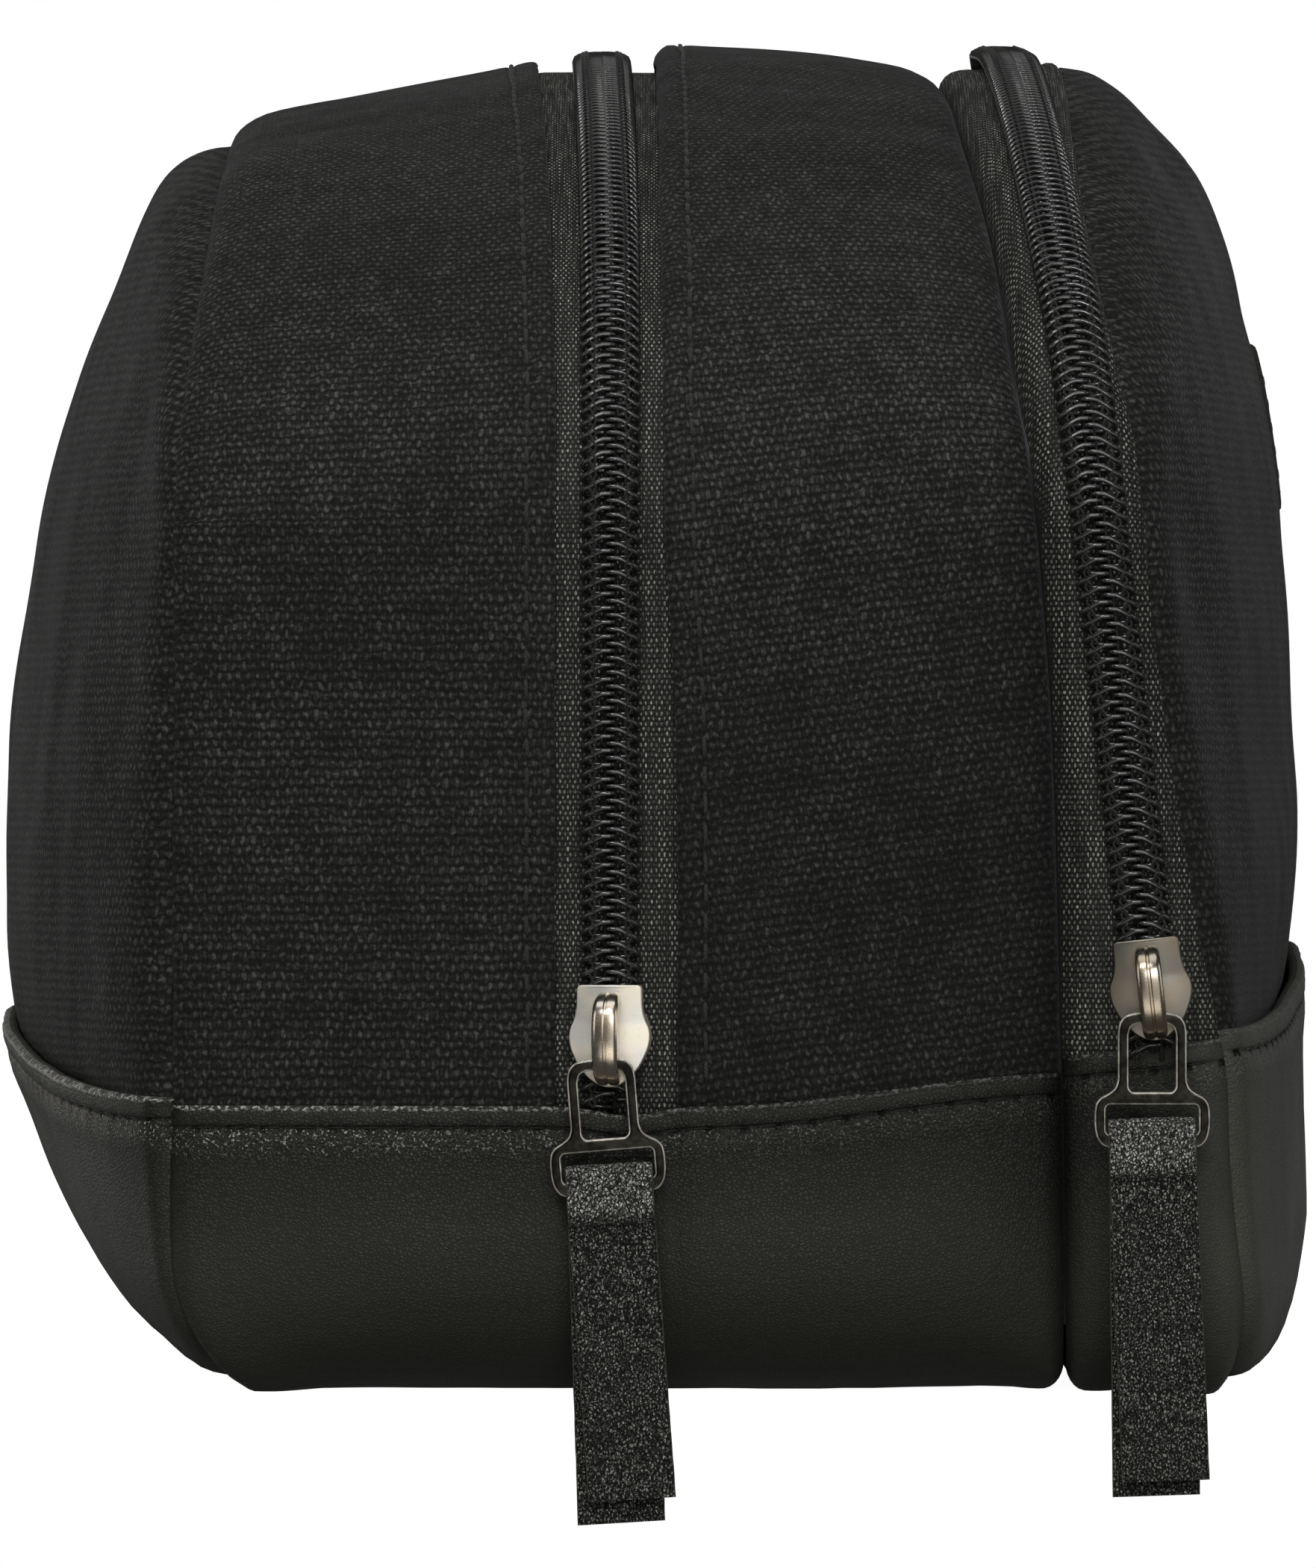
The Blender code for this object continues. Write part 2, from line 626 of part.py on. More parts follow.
def slider(prefix, xc, zc, plate_y, under_y, lean, foot):
    """Top plate, flanges, post and lower plate of a coil slider, in one piece.

    zc is the bottom of the shield; plate_y the inner face of the top plate."""
    place = upright(xc, plate_y - 0.5, zc, lean)
    ob = add(prefix + "_slider_body",
             plate_mesh(prefix + "_slider_body", [outline(SHIELD)], 0.5), "gunmetal", place)
    drop = under_y - plate_y                  # inner face of the top plate to the lower plate
    extras = [
        ("post", (-0.15, 1.6, -(0.5 + drop + 0.3)), (0.15, 3.8, 0.2)),
        ("lower", (-3.2, 0.9, -(0.5 + drop + 0.8)), (3.2, 10.0, -(0.5 + drop))),
        ("flange_left", (-4.2, 3.3, -(0.5 + foot)), (-3.4, 6.9, 0.2)),
        ("flange_right", (3.4, 3.3, -(0.5 + foot)), (4.2, 6.9, 0.2)),
    ]
    for tag, lo, hi in extras:
        cut = bpy.data.objects.new(prefix + "_" + tag, box_mesh(prefix + "_" + tag, lo, hi))
        CUTTERS.objects.link(cut)
        cut.matrix_world = place
        cut.hide_render = True
        cut.display_type = "WIRE"
        mod = ob.modifiers.new(tag, "BOOLEAN")
        mod.operation = "UNION"
        mod.object = cut
    return ob


def crown(prefix, xc, zc, plate_y, lean):
    """Arched bridge that keeps the pull on the slider; plate_y is the outer plate face."""
    prof = [(0.3, 10.2), (1.5, 9.9), (2.7, 9.1), (3.45, 7.6), (3.5, 3.2), (3.1, 1.3),
            (1.9, 0.6), (0.3, 0.5), (0.3, 1.3), (1.5, 1.4), (2.3, 1.9), (2.6, 3.2),
            (2.55, 7.3), (2.1, 8.3), (1.2, 9.0), (0.3, 9.2)]
    mesh = plate_mesh(prefix + "_slider_crown", [prof], CROWN_W / 2)
    # profile local X is the height over the plate, local Y is up the chain
    place = upright(xc, plate_y, zc, lean) @ Matrix.Rotation(-math.pi / 2, 4, "Y")
    return add(prefix + "_slider_crown", mesh, "gunmetal", place)


def link(prefix, x, y, z, lean):
    mesh = plate_mesh(prefix + "_pull_link",
                      [outline(LINK_OUT), outline(LINK_WINDOW), outline(LINK_LOOP)], LINK_T / 2)
    return add(prefix + "_pull_link", mesh, "gunmetal", upright(x, y, z, lean))


def tab(prefix, x, y, z, lean, front_len, rear_len):
    """Strap folded over the link's lower bar; local X is towards the viewer."""
    g, o = 0.95, 0.95 + TAB_T
    prof = [(-1.2, -rear_len), (-1.2, -4.0), (-o, -1.5), (-o, 0.6), (-1.5, 1.85), (0, 2.3),
            (1.5, 1.85), (o, 0.6), (o, -1.5), (1.2, -4.0), (1.2, -front_len),
            (0.1, -front_len), (0.1, -4.2), (g, -1.6), (g, 0.5), (0.6, 1.0), (0, 1.2),
            (-0.6, 1.0), (-g, 0.5), (-g, -1.6), (-0.1, -4.2), (-0.1, -rear_len)]
    mesh = plate_mesh(prefix + "_pull_tab", [prof], TAB_W / 2)
    place = upright(x, y, z, lean) @ Matrix.Rotation(-math.pi / 2, 4, "Y")
    return add(prefix + "_pull_tab", mesh, "tab_leather", place)


def down(x, z, lean, d):
    """Point d below (x, z) along a line that leans towards +X going down."""
    return x + math.sin(lean) * d, z - math.cos(lean) * d


# main zip: the coil's top is 0.6 out of the end plane
MAIN_PLATE = -(HALF_LENGTH + 1.0)
slider("main", MAIN_X - 0.1, 32.0, MAIN_PLATE, -(HALF_LENGTH - 2.8), 0.0, 1.9)
crown("main", MAIN_X - 0.5, 32.0, MAIN_PLATE - 1.0, 0.0)
MAIN_PIN = (MAIN_X - 1.1, MAIN_PLATE - 1.0 - 1.6, 34.55)
link("main", *MAIN_PIN, MAIN_LEAN)
mx, mz = down(MAIN_PIN[0], MAIN_PIN[2], MAIN_LEAN, BAR)
tab("main", mx, MAIN_PIN[1], mz, math.radians(3.4), 32.8, 35.2)

# pocket zip: leans towards the back of the bag going up
POCKET_PLATE = -(HALF_LENGTH + 1.6)
pz = 36.9
px = 53.0 - math.tan(POCKET_LEAN) * (pz - BAND_Z)
slider("pocket", px, pz, POCKET_PLATE, -(HALF_LENGTH - 3.0), POCKET_LEAN, 2.0)
crown("pocket", px, pz, POCKET_PLATE - 1.0, POCKET_LEAN)
POCKET_PIN = (px - math.sin(POCKET_LEAN) * 2.55 - 0.25, POCKET_PLATE - 1.0 - 1.6,
              pz + math.cos(POCKET_LEAN) * 2.55)
link("pocket", *POCKET_PIN, 0.0)
tab("pocket", POCKET_PIN[0], POCKET_PIN[1], POCKET_PIN[2] - BAR, math.radians(1.9), 35.6, 37.2)
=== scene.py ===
"""Looks of the shaving kit bag: canvas, leather, zips, pulls, light and camera.

Works in millimetres in the same frame as the CAD part and scales to metres when
a mesh is made.  X is the depth (+X = pocket side), Y the length, Z is up.
"""
import math
from bisect import bisect_right
from functools import lru_cache

import bpy
import numpy as np
from mathutils import Matrix, Vector, noise


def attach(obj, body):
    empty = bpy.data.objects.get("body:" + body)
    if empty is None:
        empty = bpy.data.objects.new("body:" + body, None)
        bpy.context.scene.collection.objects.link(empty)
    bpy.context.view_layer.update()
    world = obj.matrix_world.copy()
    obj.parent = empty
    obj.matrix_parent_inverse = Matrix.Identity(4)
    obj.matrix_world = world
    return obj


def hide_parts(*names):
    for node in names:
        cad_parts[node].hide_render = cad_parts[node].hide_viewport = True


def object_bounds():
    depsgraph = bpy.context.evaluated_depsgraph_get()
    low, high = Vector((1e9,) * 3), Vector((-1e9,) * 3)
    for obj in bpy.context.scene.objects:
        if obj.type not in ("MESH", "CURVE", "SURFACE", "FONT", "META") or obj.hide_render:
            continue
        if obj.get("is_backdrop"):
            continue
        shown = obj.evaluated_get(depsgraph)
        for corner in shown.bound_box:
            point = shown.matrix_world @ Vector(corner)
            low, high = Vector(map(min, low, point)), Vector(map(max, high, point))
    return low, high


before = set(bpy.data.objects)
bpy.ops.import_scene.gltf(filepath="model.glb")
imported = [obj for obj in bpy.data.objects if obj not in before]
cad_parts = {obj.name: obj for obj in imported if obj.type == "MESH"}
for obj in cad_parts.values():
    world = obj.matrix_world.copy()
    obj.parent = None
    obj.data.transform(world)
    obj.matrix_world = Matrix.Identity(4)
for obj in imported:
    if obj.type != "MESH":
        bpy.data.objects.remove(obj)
CAD_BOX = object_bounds()
MM = 0.001

# ---------------------------------------------------------------- smooth tables
_tables = {}


def interp(table, x):
    """Monotone cubic through a table of points, held at its ends."""
    key = id(table)
    if key not in _tables or _tables[key][0] is not table:
        xs, ys = [], []
        for a, b in table:
            if not xs or a > xs[-1] + 1e-9:
                xs.append(float(a))
                ys.append(float(b))
        n = len(xs)
        d = [(ys[i + 1] - ys[i]) / (xs[i + 1] - xs[i]) for i in range(n - 1)]
        m = [0.0] * n
        m[0], m[-1] = d[0], d[-1]
        for i in range(1, n - 1):
            if d[i - 1] * d[i] > 0:
                h0, h1 = xs[i] - xs[i - 1], xs[i + 1] - xs[i]
                w1, w2 = 2 * h1 + h0, h1 + 2 * h0
                m[i] = (w1 + w2) / (w1 / d[i - 1] + w2 / d[i])
        _tables[key] = (table, xs, ys, m)
    _, xs, ys, m = _tables[key]
    if x <= xs[0]:
        return ys[0]
    if x >= xs[-1]:
        return ys[-1]
    i = bisect_right(xs, x) - 1
    h = xs[i + 1] - xs[i]
    t = (x - xs[i]) / h
    a, b = ys[i], ys[i + 1]
    return ((1 + 2 * t) * (1 - t) ** 2 * a + t * (1 - t) ** 2 * h * m[i]
            + t * t * (3 - 2 * t) * b + t * t * (t - 1) * h * m[i + 1])


# ---------------------------------------------------------------- dimensions
HALF_LENGTH = 125.0        # end faces, canvas edge beside the zip
CROWN_Z = 145.2            # canvas at the top, half way along
BAND_Z = 31.0              # nominal top of the leather base
BEND_Z = 92.0              # where the straight ends start to bend over
SKIN_Z = 0.8               # skin datum of the bottom; the leather stands out from it
CORNER_R = 16.0            # bottom edge radius of the end strips
REAR_SIDE_X = -51.5        # rear seam on the end faces
LEATHER_PROUD = 0.8
LEATHER_T = 1.6
CANVAS_T = 1.4
FOAM_T = 2.4
LINING_T = 0.6
TAPE_T = 0.6
SEAM_GAP = 0.9             # each side of a seam
EDGE_GAP = 0.4             # canvas to leather
COIL_HALF = 3.0            # half the width of the closed number 5 chain
COIL_GAP = 0.45            # half the gap the slider's post runs in
POCKET_LEAN = math.radians(6.24)
MAIN_LEAN = math.radians(4.6)
MAIN_X = -5.0              # main chain on the near end
LINK_T = 1.3
TAB_W = 9.2
TAB_T = 1.1
CROWN_W = 2.7
PATCH = (22.0, 94.2, 112.7)   # half width, bottom and top of the blank patch

# side view of the upper path: inset from the end plane, height
BEND = [(0.0, BEND_Z), (1.0, 96.3), (2.4, 100.2), (4.4, 104.2), (7.1, 108.0),
        (10.6, 112.0), (15.2, 116.0), (20.9, 120.0), (28.5, 124.2), (41.5, 130.0),
        (56.0, 135.0), (75.0, 139.6), (98.0, 143.4), (HALF_LENGTH, CROWN_Z)]

# section half way along: height, X of the back panel and of the front panel
BACK_MID = [(0.8, -42.6), (3, -50.2), (5, -53.2), (8, -57.0), (13, -61.1), (18, -64.0), (23, -66.3),
            (28, -68.2), (33, -70.0), (38, -71.3), (48, -72.6), (58, -72.8), (68, -72.2),
            (78, -71.0), (88, -69.6), (98, -67.8), (108, -64.8), (118, -60.9),
            (128, -56.4), (133, -52.6), (136.1, -47.3)]
FRONT_MID = [(0.8, 59.5), (1.6, 62.6), (4, 66.4), (8, 68.5), (13, 69.7), (18, 70.4),
             (23, 70.3), (33, 70.0), (43, 69.9), (48, 70.3), (53, 70.8), (61, 71.0), (73, 70.5),
             (83, 70.0), (93, 69.4), (103, 68.4), (108, 67.6), (113, 66.6), (118, 65.3),
             (123, 64.0), (128, 62.2), (133, 59.7), (138, 54.9), (143, 48.8), (145, 45.0)]


# ---------------------------------------------------------------- curves
def catmull(points, per=10):
    pts = [np.array(p, float) for p in points]
    pts = [2 * pts[0] - pts[1]] + pts + [2 * pts[-1] - pts[-2]]
    out = []
    for i in range(1, len(pts) - 2):
        a, b, c, d = pts[i - 1:i + 3]
        for k in range(per):
            t = k / per
            out.append(0.5 * (2 * b + (c - a) * t + (2 * a - 5 * b + 4 * c - d) * t * t
                              + (3 * b - a - 3 * c + d) * t ** 3))
    out.append(pts[-2])
    return np.array(out)


def smooth(x):
    x = min(1.0, max(0.0, x))
    return x * x * (3 - 2 * x)


_bend = catmull(BEND, 40)
_arc = np.concatenate([[0], np.cumsum(np.hypot(*(np.diff(_bend, axis=0).T)))])
BEND_L = BEND_Z - BAND_Z
HALF_L = BEND_L + float(_arc[-1])          # path length from the band to the crown
CORNER_L = -(BAND_Z - SKIN_Z - CORNER_R)   # where the bottom corner starts
FLAT_L = CORNER_L - CORNER_R * math.pi / 2


def raw_path(L):
    """Point (y, z) of the near half of the path that the zips follow."""
    if L > BEND_L:
        d = np.interp(L - BEND_L, _arc, _bend[:, 0])
        z = np.interp(L - BEND_L, _arc, _bend[:, 1])
        return np.array((-HALF_LENGTH + d, z))
    if L >= CORNER_L:
        return np.array((-HALF_LENGTH, BAND_Z + L))
    if L >= FLAT_L:
        a = (CORNER_L - L) / CORNER_R
        return np.array((-HALF_LENGTH + CORNER_R * (1 - math.cos(a)),
                         SKIN_Z + CORNER_R * (1 - math.sin(a))))
    return np.array((-HALF_LENGTH + CORNER_R + (FLAT_L - L), SKIN_Z))


@lru_cache(maxsize=None)
def path(L):
    """Point and outward normal, over the top to the far end as well."""
    flip = L > HALF_L
    if flip:
        L = 2 * HALF_L - L
    e = 0.8
    p = raw_path(L)
    a, b = raw_path(L - e), raw_path(min(L + e, HALF_L))
    t = (b - a) / np.linalg.norm(b - a)
    n = np.array((-t[1], t[0]))
    if abs(L - HALF_L) < 1e-6:
        n = np.array((0.0, 1.0))
    if flip:
        p[0], n[0] = -p[0], -n[0]
    return p, n


def end_weight(L):
    L = min(L, 2 * HALF_L - L)
    return smooth((L - FLAT_L) / (CORNER_L - FLAT_L))


def near(L):
    return min(L, 2 * HALF_L - L)


# tables of the seams and rails
_T1 = [(-20, -6), (BEND_L, -6), (130, -6.2), (165, -7.8), (HALF_L, -9.1)]
_T2 = [(-20, -3), (BEND_L, -3), (120, -1.2), (HALF_L, -0.2)]
_T3 = [(-20, -4.5), (BEND_L, -4.5), (120, -3.2), (HALF_L, -2.6)]
_T4 = [(0.8, -43.0), (1.8, -45.4), (4, -48.2), (8, -50.6), (13, -51.6), (20, -51.8),
                   (31, REAR_SIDE_X), (150, REAR_SIDE_X)]
_T5 = [(0, 59.0), (2, 60.9), (5, 61.9), (9.5, 62.1), (16.7, 61.2), (25, 60.5), (31, 60.3), (49, 57.2), (70, 53.8), (88, 51.8), (101, 51.2),
                   (110, 50.0), (123, 48.4), (145, 45.2)]
_T6 = [(0, 2.1), (20, 2.05), (38, 1.8), (61, 0.75), (HALF_L, -0.5)]
_T7 = [(-60, 43.2), (0, 42.6), (39, 41.6), (57, 40.3), (70, 39.2), (81, 37.9),
                   (103, 36.3), (140, 33.5), (HALF_L, 31.0)]
_T8 = [(62, 53.0 - math.tan(POCKET_LEAN) * 62), (81, 44.3), (103, 42.2),
                   (140, 40.1), (HALF_L, 38.0)]


@lru_cache(maxsize=None)
def rear_inset(L):
    L = near(L)
    return end_weight(L) * interp(_T1, L)


@lru_cache(maxsize=None)
def front_inset(L):
    L = near(L)
    return end_weight(L) * interp(_T2, L)


@lru_cache(maxsize=None)
def valley_inset(L):
    L = near(L)
    w = end_weight(L)
    return w * interp(_T3, L) - 0.4 * (1 - w)


def loop(inset):
    """Upper and lower outline of a side panel: tables of |y| to height."""
    up, low = [], []
    for k in range(161):
        L = BEND_L + (HALF_L - BEND_L) * k / 160
        p, n = path(L)
        q = p + n * inset(L)
        up.append((-q[0], q[1]))
    for k in range(41):
        L = CORNER_L + (FLAT_L - CORNER_L) * k / 40
        p, n = path(L)
        q = p + n * inset(L)
        low.append((-q[0], q[1]))
    return sorted(up), sorted(low)


REAR_UP, REAR_LOW = loop(rear_inset)
FRONT_UP, FRONT_LOW = loop(front_inset)
REAR_Y = HALF_LENGTH - 6.0
FRONT_Y = HALF_LENGTH - 3.0


def bulge(y, half):
    t = min(1.0, abs(y) / half)
    return (1 - t ** 3.2) ** 0.8


def rear_side_x(z):
    """X of the rear seam on the end faces, drawn in towards the base."""
    return interp(_T4, z)


def front_side_x(z):
    """X of the front seam on the end faces."""
    return interp(_T5, z)


def squeeze(y, z, up, low, top):
    """Height on the mid section that matches (y, z) on the panel."""
    z1, z0 = interp(up, abs(y)), interp(low, abs(y))
    if z >= BAND_Z:
        return BAND_Z + (z - BAND_Z) * (top - BAND_Z) / (z1 - BAND_Z)
    return SKIN_Z + (z - z0) * (BAND_Z - SKIN_Z) / (BAND_Z - z0)


def back_x(y, z):
    zz = squeeze(y, z, REAR_UP, REAR_LOW, BACK_MID[-1][0])
    s = rear_side_x(z)
    return s + (interp(BACK_MID, zz) - s) * bulge(y, REAR_Y)


def front_x(y, z):
    zz = squeeze(y, z, FRONT_UP, FRONT_LOW, FRONT_MID[-1][0])
    s = front_side_x(z)
    return s + (interp(FRONT_MID, zz) - s) * bulge(y, FRONT_Y)


# ---------------------------------------------------------------- rails (X along the path)
@lru_cache(maxsize=None)
def x_rear_seam(L):
    p, n = path(L)
    q = p + n * rear_inset(L)
    return back_x(q[0], q[1])


@lru_cache(maxsize=None)
def x_front_seam(L):
    p, n = path(L)
    q = p + n * front_inset(L)
    return front_x(q[0], q[1])


def x_main(L):
    return MAIN_X - 1.3 * smooth((near(L) - 70) / (HALF_L - 70))


def x_rear_edge(L):
    return -10.8 - 2.6 * smooth((near(L) - 61) / (HALF_L - 61))


@lru_cache(maxsize=None)
def x_mid_edge(L):
    return interp(_T6, near(L))


@lru_cache(maxsize=None)
def x_valley(L):
    return interp(_T7, near(L))


@lru_cache(maxsize=None)
def x_pocket(L):
    L = near(L)
    if L <= 62:
        return 53.0 - math.tan(POCKET_LEAN) * L
    return interp(_T8, L)


def lift(x, L, leather=False):
    """How far the skin stands out of the path at X, along its normal."""
    xs, xe, xm, xv = x_rear_seam(L), x_rear_edge(L), x_mid_edge(L), x_valley(L)
    w = end_weight(L)
    top = smooth((near(L) - 61) / (HALF_L - 61))
    if x <= xe:
        t = min(1.0, max(0.0, (x - xs) / (xe - xs)))
        return rear_inset(L) * (0.3 * (1 - t) ** 8 + 0.7 * (1 - t) ** 0.8)
    if x <= xm:
        return 0.0
    if x <= xv:
        t = (x - xm) / (xv - xm)
        return (0.4 + 0.9 * top) * w * (1 - t) * smooth(t * 12 + 0.3) + valley_inset(L) * t ** 5
    xf, xc = x_front_seam(L), x_pocket(L)
    base = -1.3 * w
    if x <= xc:
        t = max(0.0, (x - xv) / (xc - xv))
        return (valley_inset(L) - base) * (1 - t) ** 4 + base
    t = min(1.0, (x - xc) / (xf - xc))
    return base + (front_inset(L) - base) * t ** 2


def skin(x, L):
    p, n = path(L)
    h = lift(x, L)
    q = p + n * h
    return np.array((x, q[0], q[1]))


def end_top(x):
    """Top of the leather on the end faces, main part."""
    return 30.2 + 3.4 * smooth((x - 5) / 38.0)


def pocket_top(x):
    return 35.4 + 0.11 * (x - 43)


def back_band(y):
    t = min(1.0, abs(y) / REAR_Y)
    return 31.0 + 8.4 * (1 - t * t) ** 1.6


def front_band(y):
    t = min(1.0, abs(y) / FRONT_Y)
    return 38.2 + 8.3 * (1 - t * t) ** 1.6


# ---------------------------------------------------------------- small maths
def vnoise(x, y, z, scale, seed=0.0):
    return noise.noise(Vector((x / scale + seed, y / scale - seed * 0.7, z / scale + seed * 1.3)))


def place(x, L, h, lifted=True):
    """A point h outside the skin (or outside the path) at X and path length L."""
    p, n = path(L)
    q = p + n * ((lift(x, L) if lifted else 0.0) + h)
    return (x, q[0], q[1])


def lin(a, b, k):
    return [a + (b - a) * i / k for i in range(k + 1)]


def grid_normals(P):
    du = np.gradient(P, axis=0)
    dv = np.gradient(P, axis=1)
    n = np.cross(du, dv)
    return n / np.maximum(np.linalg.norm(n, axis=2, keepdims=True), 1e-9)


COLLECTION = bpy.context.scene.collection


def mesh_object(name, verts, faces, mat, body, replaces=(), uvs=None, mats=None,
                smooth=True, angle=None):
    """verts in millimetres; uvs one (u, v) in millimetres per vertex."""
    me = bpy.data.meshes.new(name)
    me.from_pydata([(v[0] * MM, v[1] * MM, v[2] * MM) for v in verts], [], faces)
    me.validate()
    if uvs is not None:
        layer = me.uv_layers.new(name="mm")
        idx = np.zeros(len(me.loops), np.int32)
        me.loops.foreach_get("vertex_index", idx)
        layer.data.foreach_set("uv", np.asarray(uvs, np.float32)[idx].reshape(-1))
    for m in (mat if isinstance(mat, (list, tuple)) else [mat]):
        me.materials.append(m)
    if mats is not None:
        me.polygons.foreach_set("material_index", np.asarray(mats, np.int32))
    if smooth:
        me.shade_smooth()
    if angle is not None:
        me.set_sharp_from_angle(angle=math.radians(angle))
    ob = bpy.data.objects.new(name, me)
    COLLECTION.objects.link(ob)
    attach(ob, body)
    if replaces:
        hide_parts(*replaces)
    return ob


def grid_faces(nu, nv, closed=False, flip=False, base=0):
    out = []
    last = nu if closed else nu - 1
    for i in range(last):
        a, b = i, (i + 1) % nu
        for j in range(nv - 1):
            q = (base + a * nv + j, base + b * nv + j, base + b * nv + j + 1, base + a * nv + j + 1)
            out.append(q[::-1] if flip else q)
    return out


def oriented(P, closed, outward):
    """True when the faces have to be turned so that they face out."""
    n = grid_normals(P)
    return float((n * outward).sum()) < 0


def surface(name, P, UV, mat, body, outward, replaces=(), closed=False, caps=False):
    nu, nv = P.shape[:2]
    flip = oriented(P, closed, outward)
    faces = grid_faces(nu, nv, closed, flip)
    verts = P.reshape(-1, 3)
    uvs = UV.reshape(-1, 2)
    if caps and closed:
        a = [i * nv for i in range(nu)]
        b = [i * nv + nv - 1 for i in range(nu)]
        faces += [tuple(a) if flip else tuple(reversed(a)), tuple(reversed(b)) if flip else tuple(b)]
    return mesh_object(name, verts, faces, mat, body, replaces, uvs)


def tube_arrays(pts, radius, sides, nrm=None, cap=True):
    """A round tube along pts; radius a number or one per point."""
    pts = np.asarray(pts, float)
    n = len(pts)
    r = np.full(n, radius, float) if np.isscalar(radius) else np.asarray(radius, float)
    tan = np.gradient(pts, axis=0)
    tan /= np.maximum(np.linalg.norm(tan, axis=1, keepdims=True), 1e-9)
    ref = np.zeros((n, 3))
    if nrm is None:
        cur = np.array((0.3, -0.8, 0.5))
        for i in range(n):
            cur = cur - tan[i] * cur.dot(tan[i])
            k = np.linalg.norm(cur)
            cur = cur / k if k > 1e-6 else np.array((1.0, 0, 0))
            ref[i] = cur
    else:
        ref = np.asarray(nrm, float) - tan * (np.asarray(nrm) * tan).sum(1)[:, None]
        ref /= np.maximum(np.linalg.norm(ref, axis=1, keepdims=True), 1e-9)
    side = np.cross(tan, ref)
    ang = np.arange(sides) * 2 * math.pi / sides
    ring = (ref[:, None, :] * np.cos(ang)[None, :, None]
            + side[:, None, :] * np.sin(ang)[None, :, None]) * r[:, None, None]
    V = (pts[:, None, :] + ring).reshape(-1, 3)
    F = []
    for i in range(n - 1):
        for k in range(sides):
            k2 = (k + 1) % sides
            F.append((i * sides + k, (i + 1) * sides + k, (i + 1) * sides + k2, i * sides + k2))
    if cap:
        F.append(tuple(range(sides)))
        F.append(tuple(reversed(range((n - 1) * sides, n * sides))))
    return V, F


class Bag:
    """Collects many small closed shapes into one mesh."""

    def __init__(self):
        self.v, self.f, self.n = [], [], 0

    def add(self, V, F):
        self.v.append(np.asarray(V, float))
        self.f += [tuple(i + self.n for i in f) for f in F]
        self.n += len(V)

    def make(self, name, mat, body, replaces=()):
        return mesh_object(name, np.concatenate(self.v), self.f, mat, body, replaces)


def stitch_row(bag, pts, nrm, pitch, length, radius, proud=0.35, start=None, wander=0.08, seed=1.0):
    """Thread lying between needle holes along a line of points."""
    pts = np.asarray(pts, float)
    nrm = np.asarray(nrm, float)
    s = np.concatenate([[0], np.cumsum(np.linalg.norm(np.diff(pts, axis=0), axis=1))])
    total = s[-1]
    count = int((total - 1.0) / pitch)
    at = (total - count * pitch) / 2 if start is None else start
    t = np.linspace(-0.5, 0.5, 7)
    sink = proud - 1.5 * (2 * np.abs(t)) ** 3.5
    rad = radius * np.sqrt(np.maximum(0.05, 1 - (2 * np.abs(t)) ** 5))
    for k in range(count):
        c = at + (k + 0.5) * pitch
        w = wander * noise.noise(Vector((k * 1.7 + seed, seed, 0.3)))
        ss = c + t * length
        P = np.stack([np.interp(ss, s, pts[:, a]) for a in range(3)], 1)
        N = np.stack([np.interp(ss, s, nrm[:, a]) for a in range(3)], 1)
        N /= np.linalg.norm(N, axis=1, keepdims=True)
        T = P[-1] - P[0]
        T /= np.linalg.norm(T)
        B = np.cross(N, T)
        P = P + N * (sink * radius)[:, None] + B * (w + 0.10 * t[:, None] * (1 if k % 2 else 0.6))
        V, F = tube_arrays(P, rad, 6, N)
        bag.add(V, F)


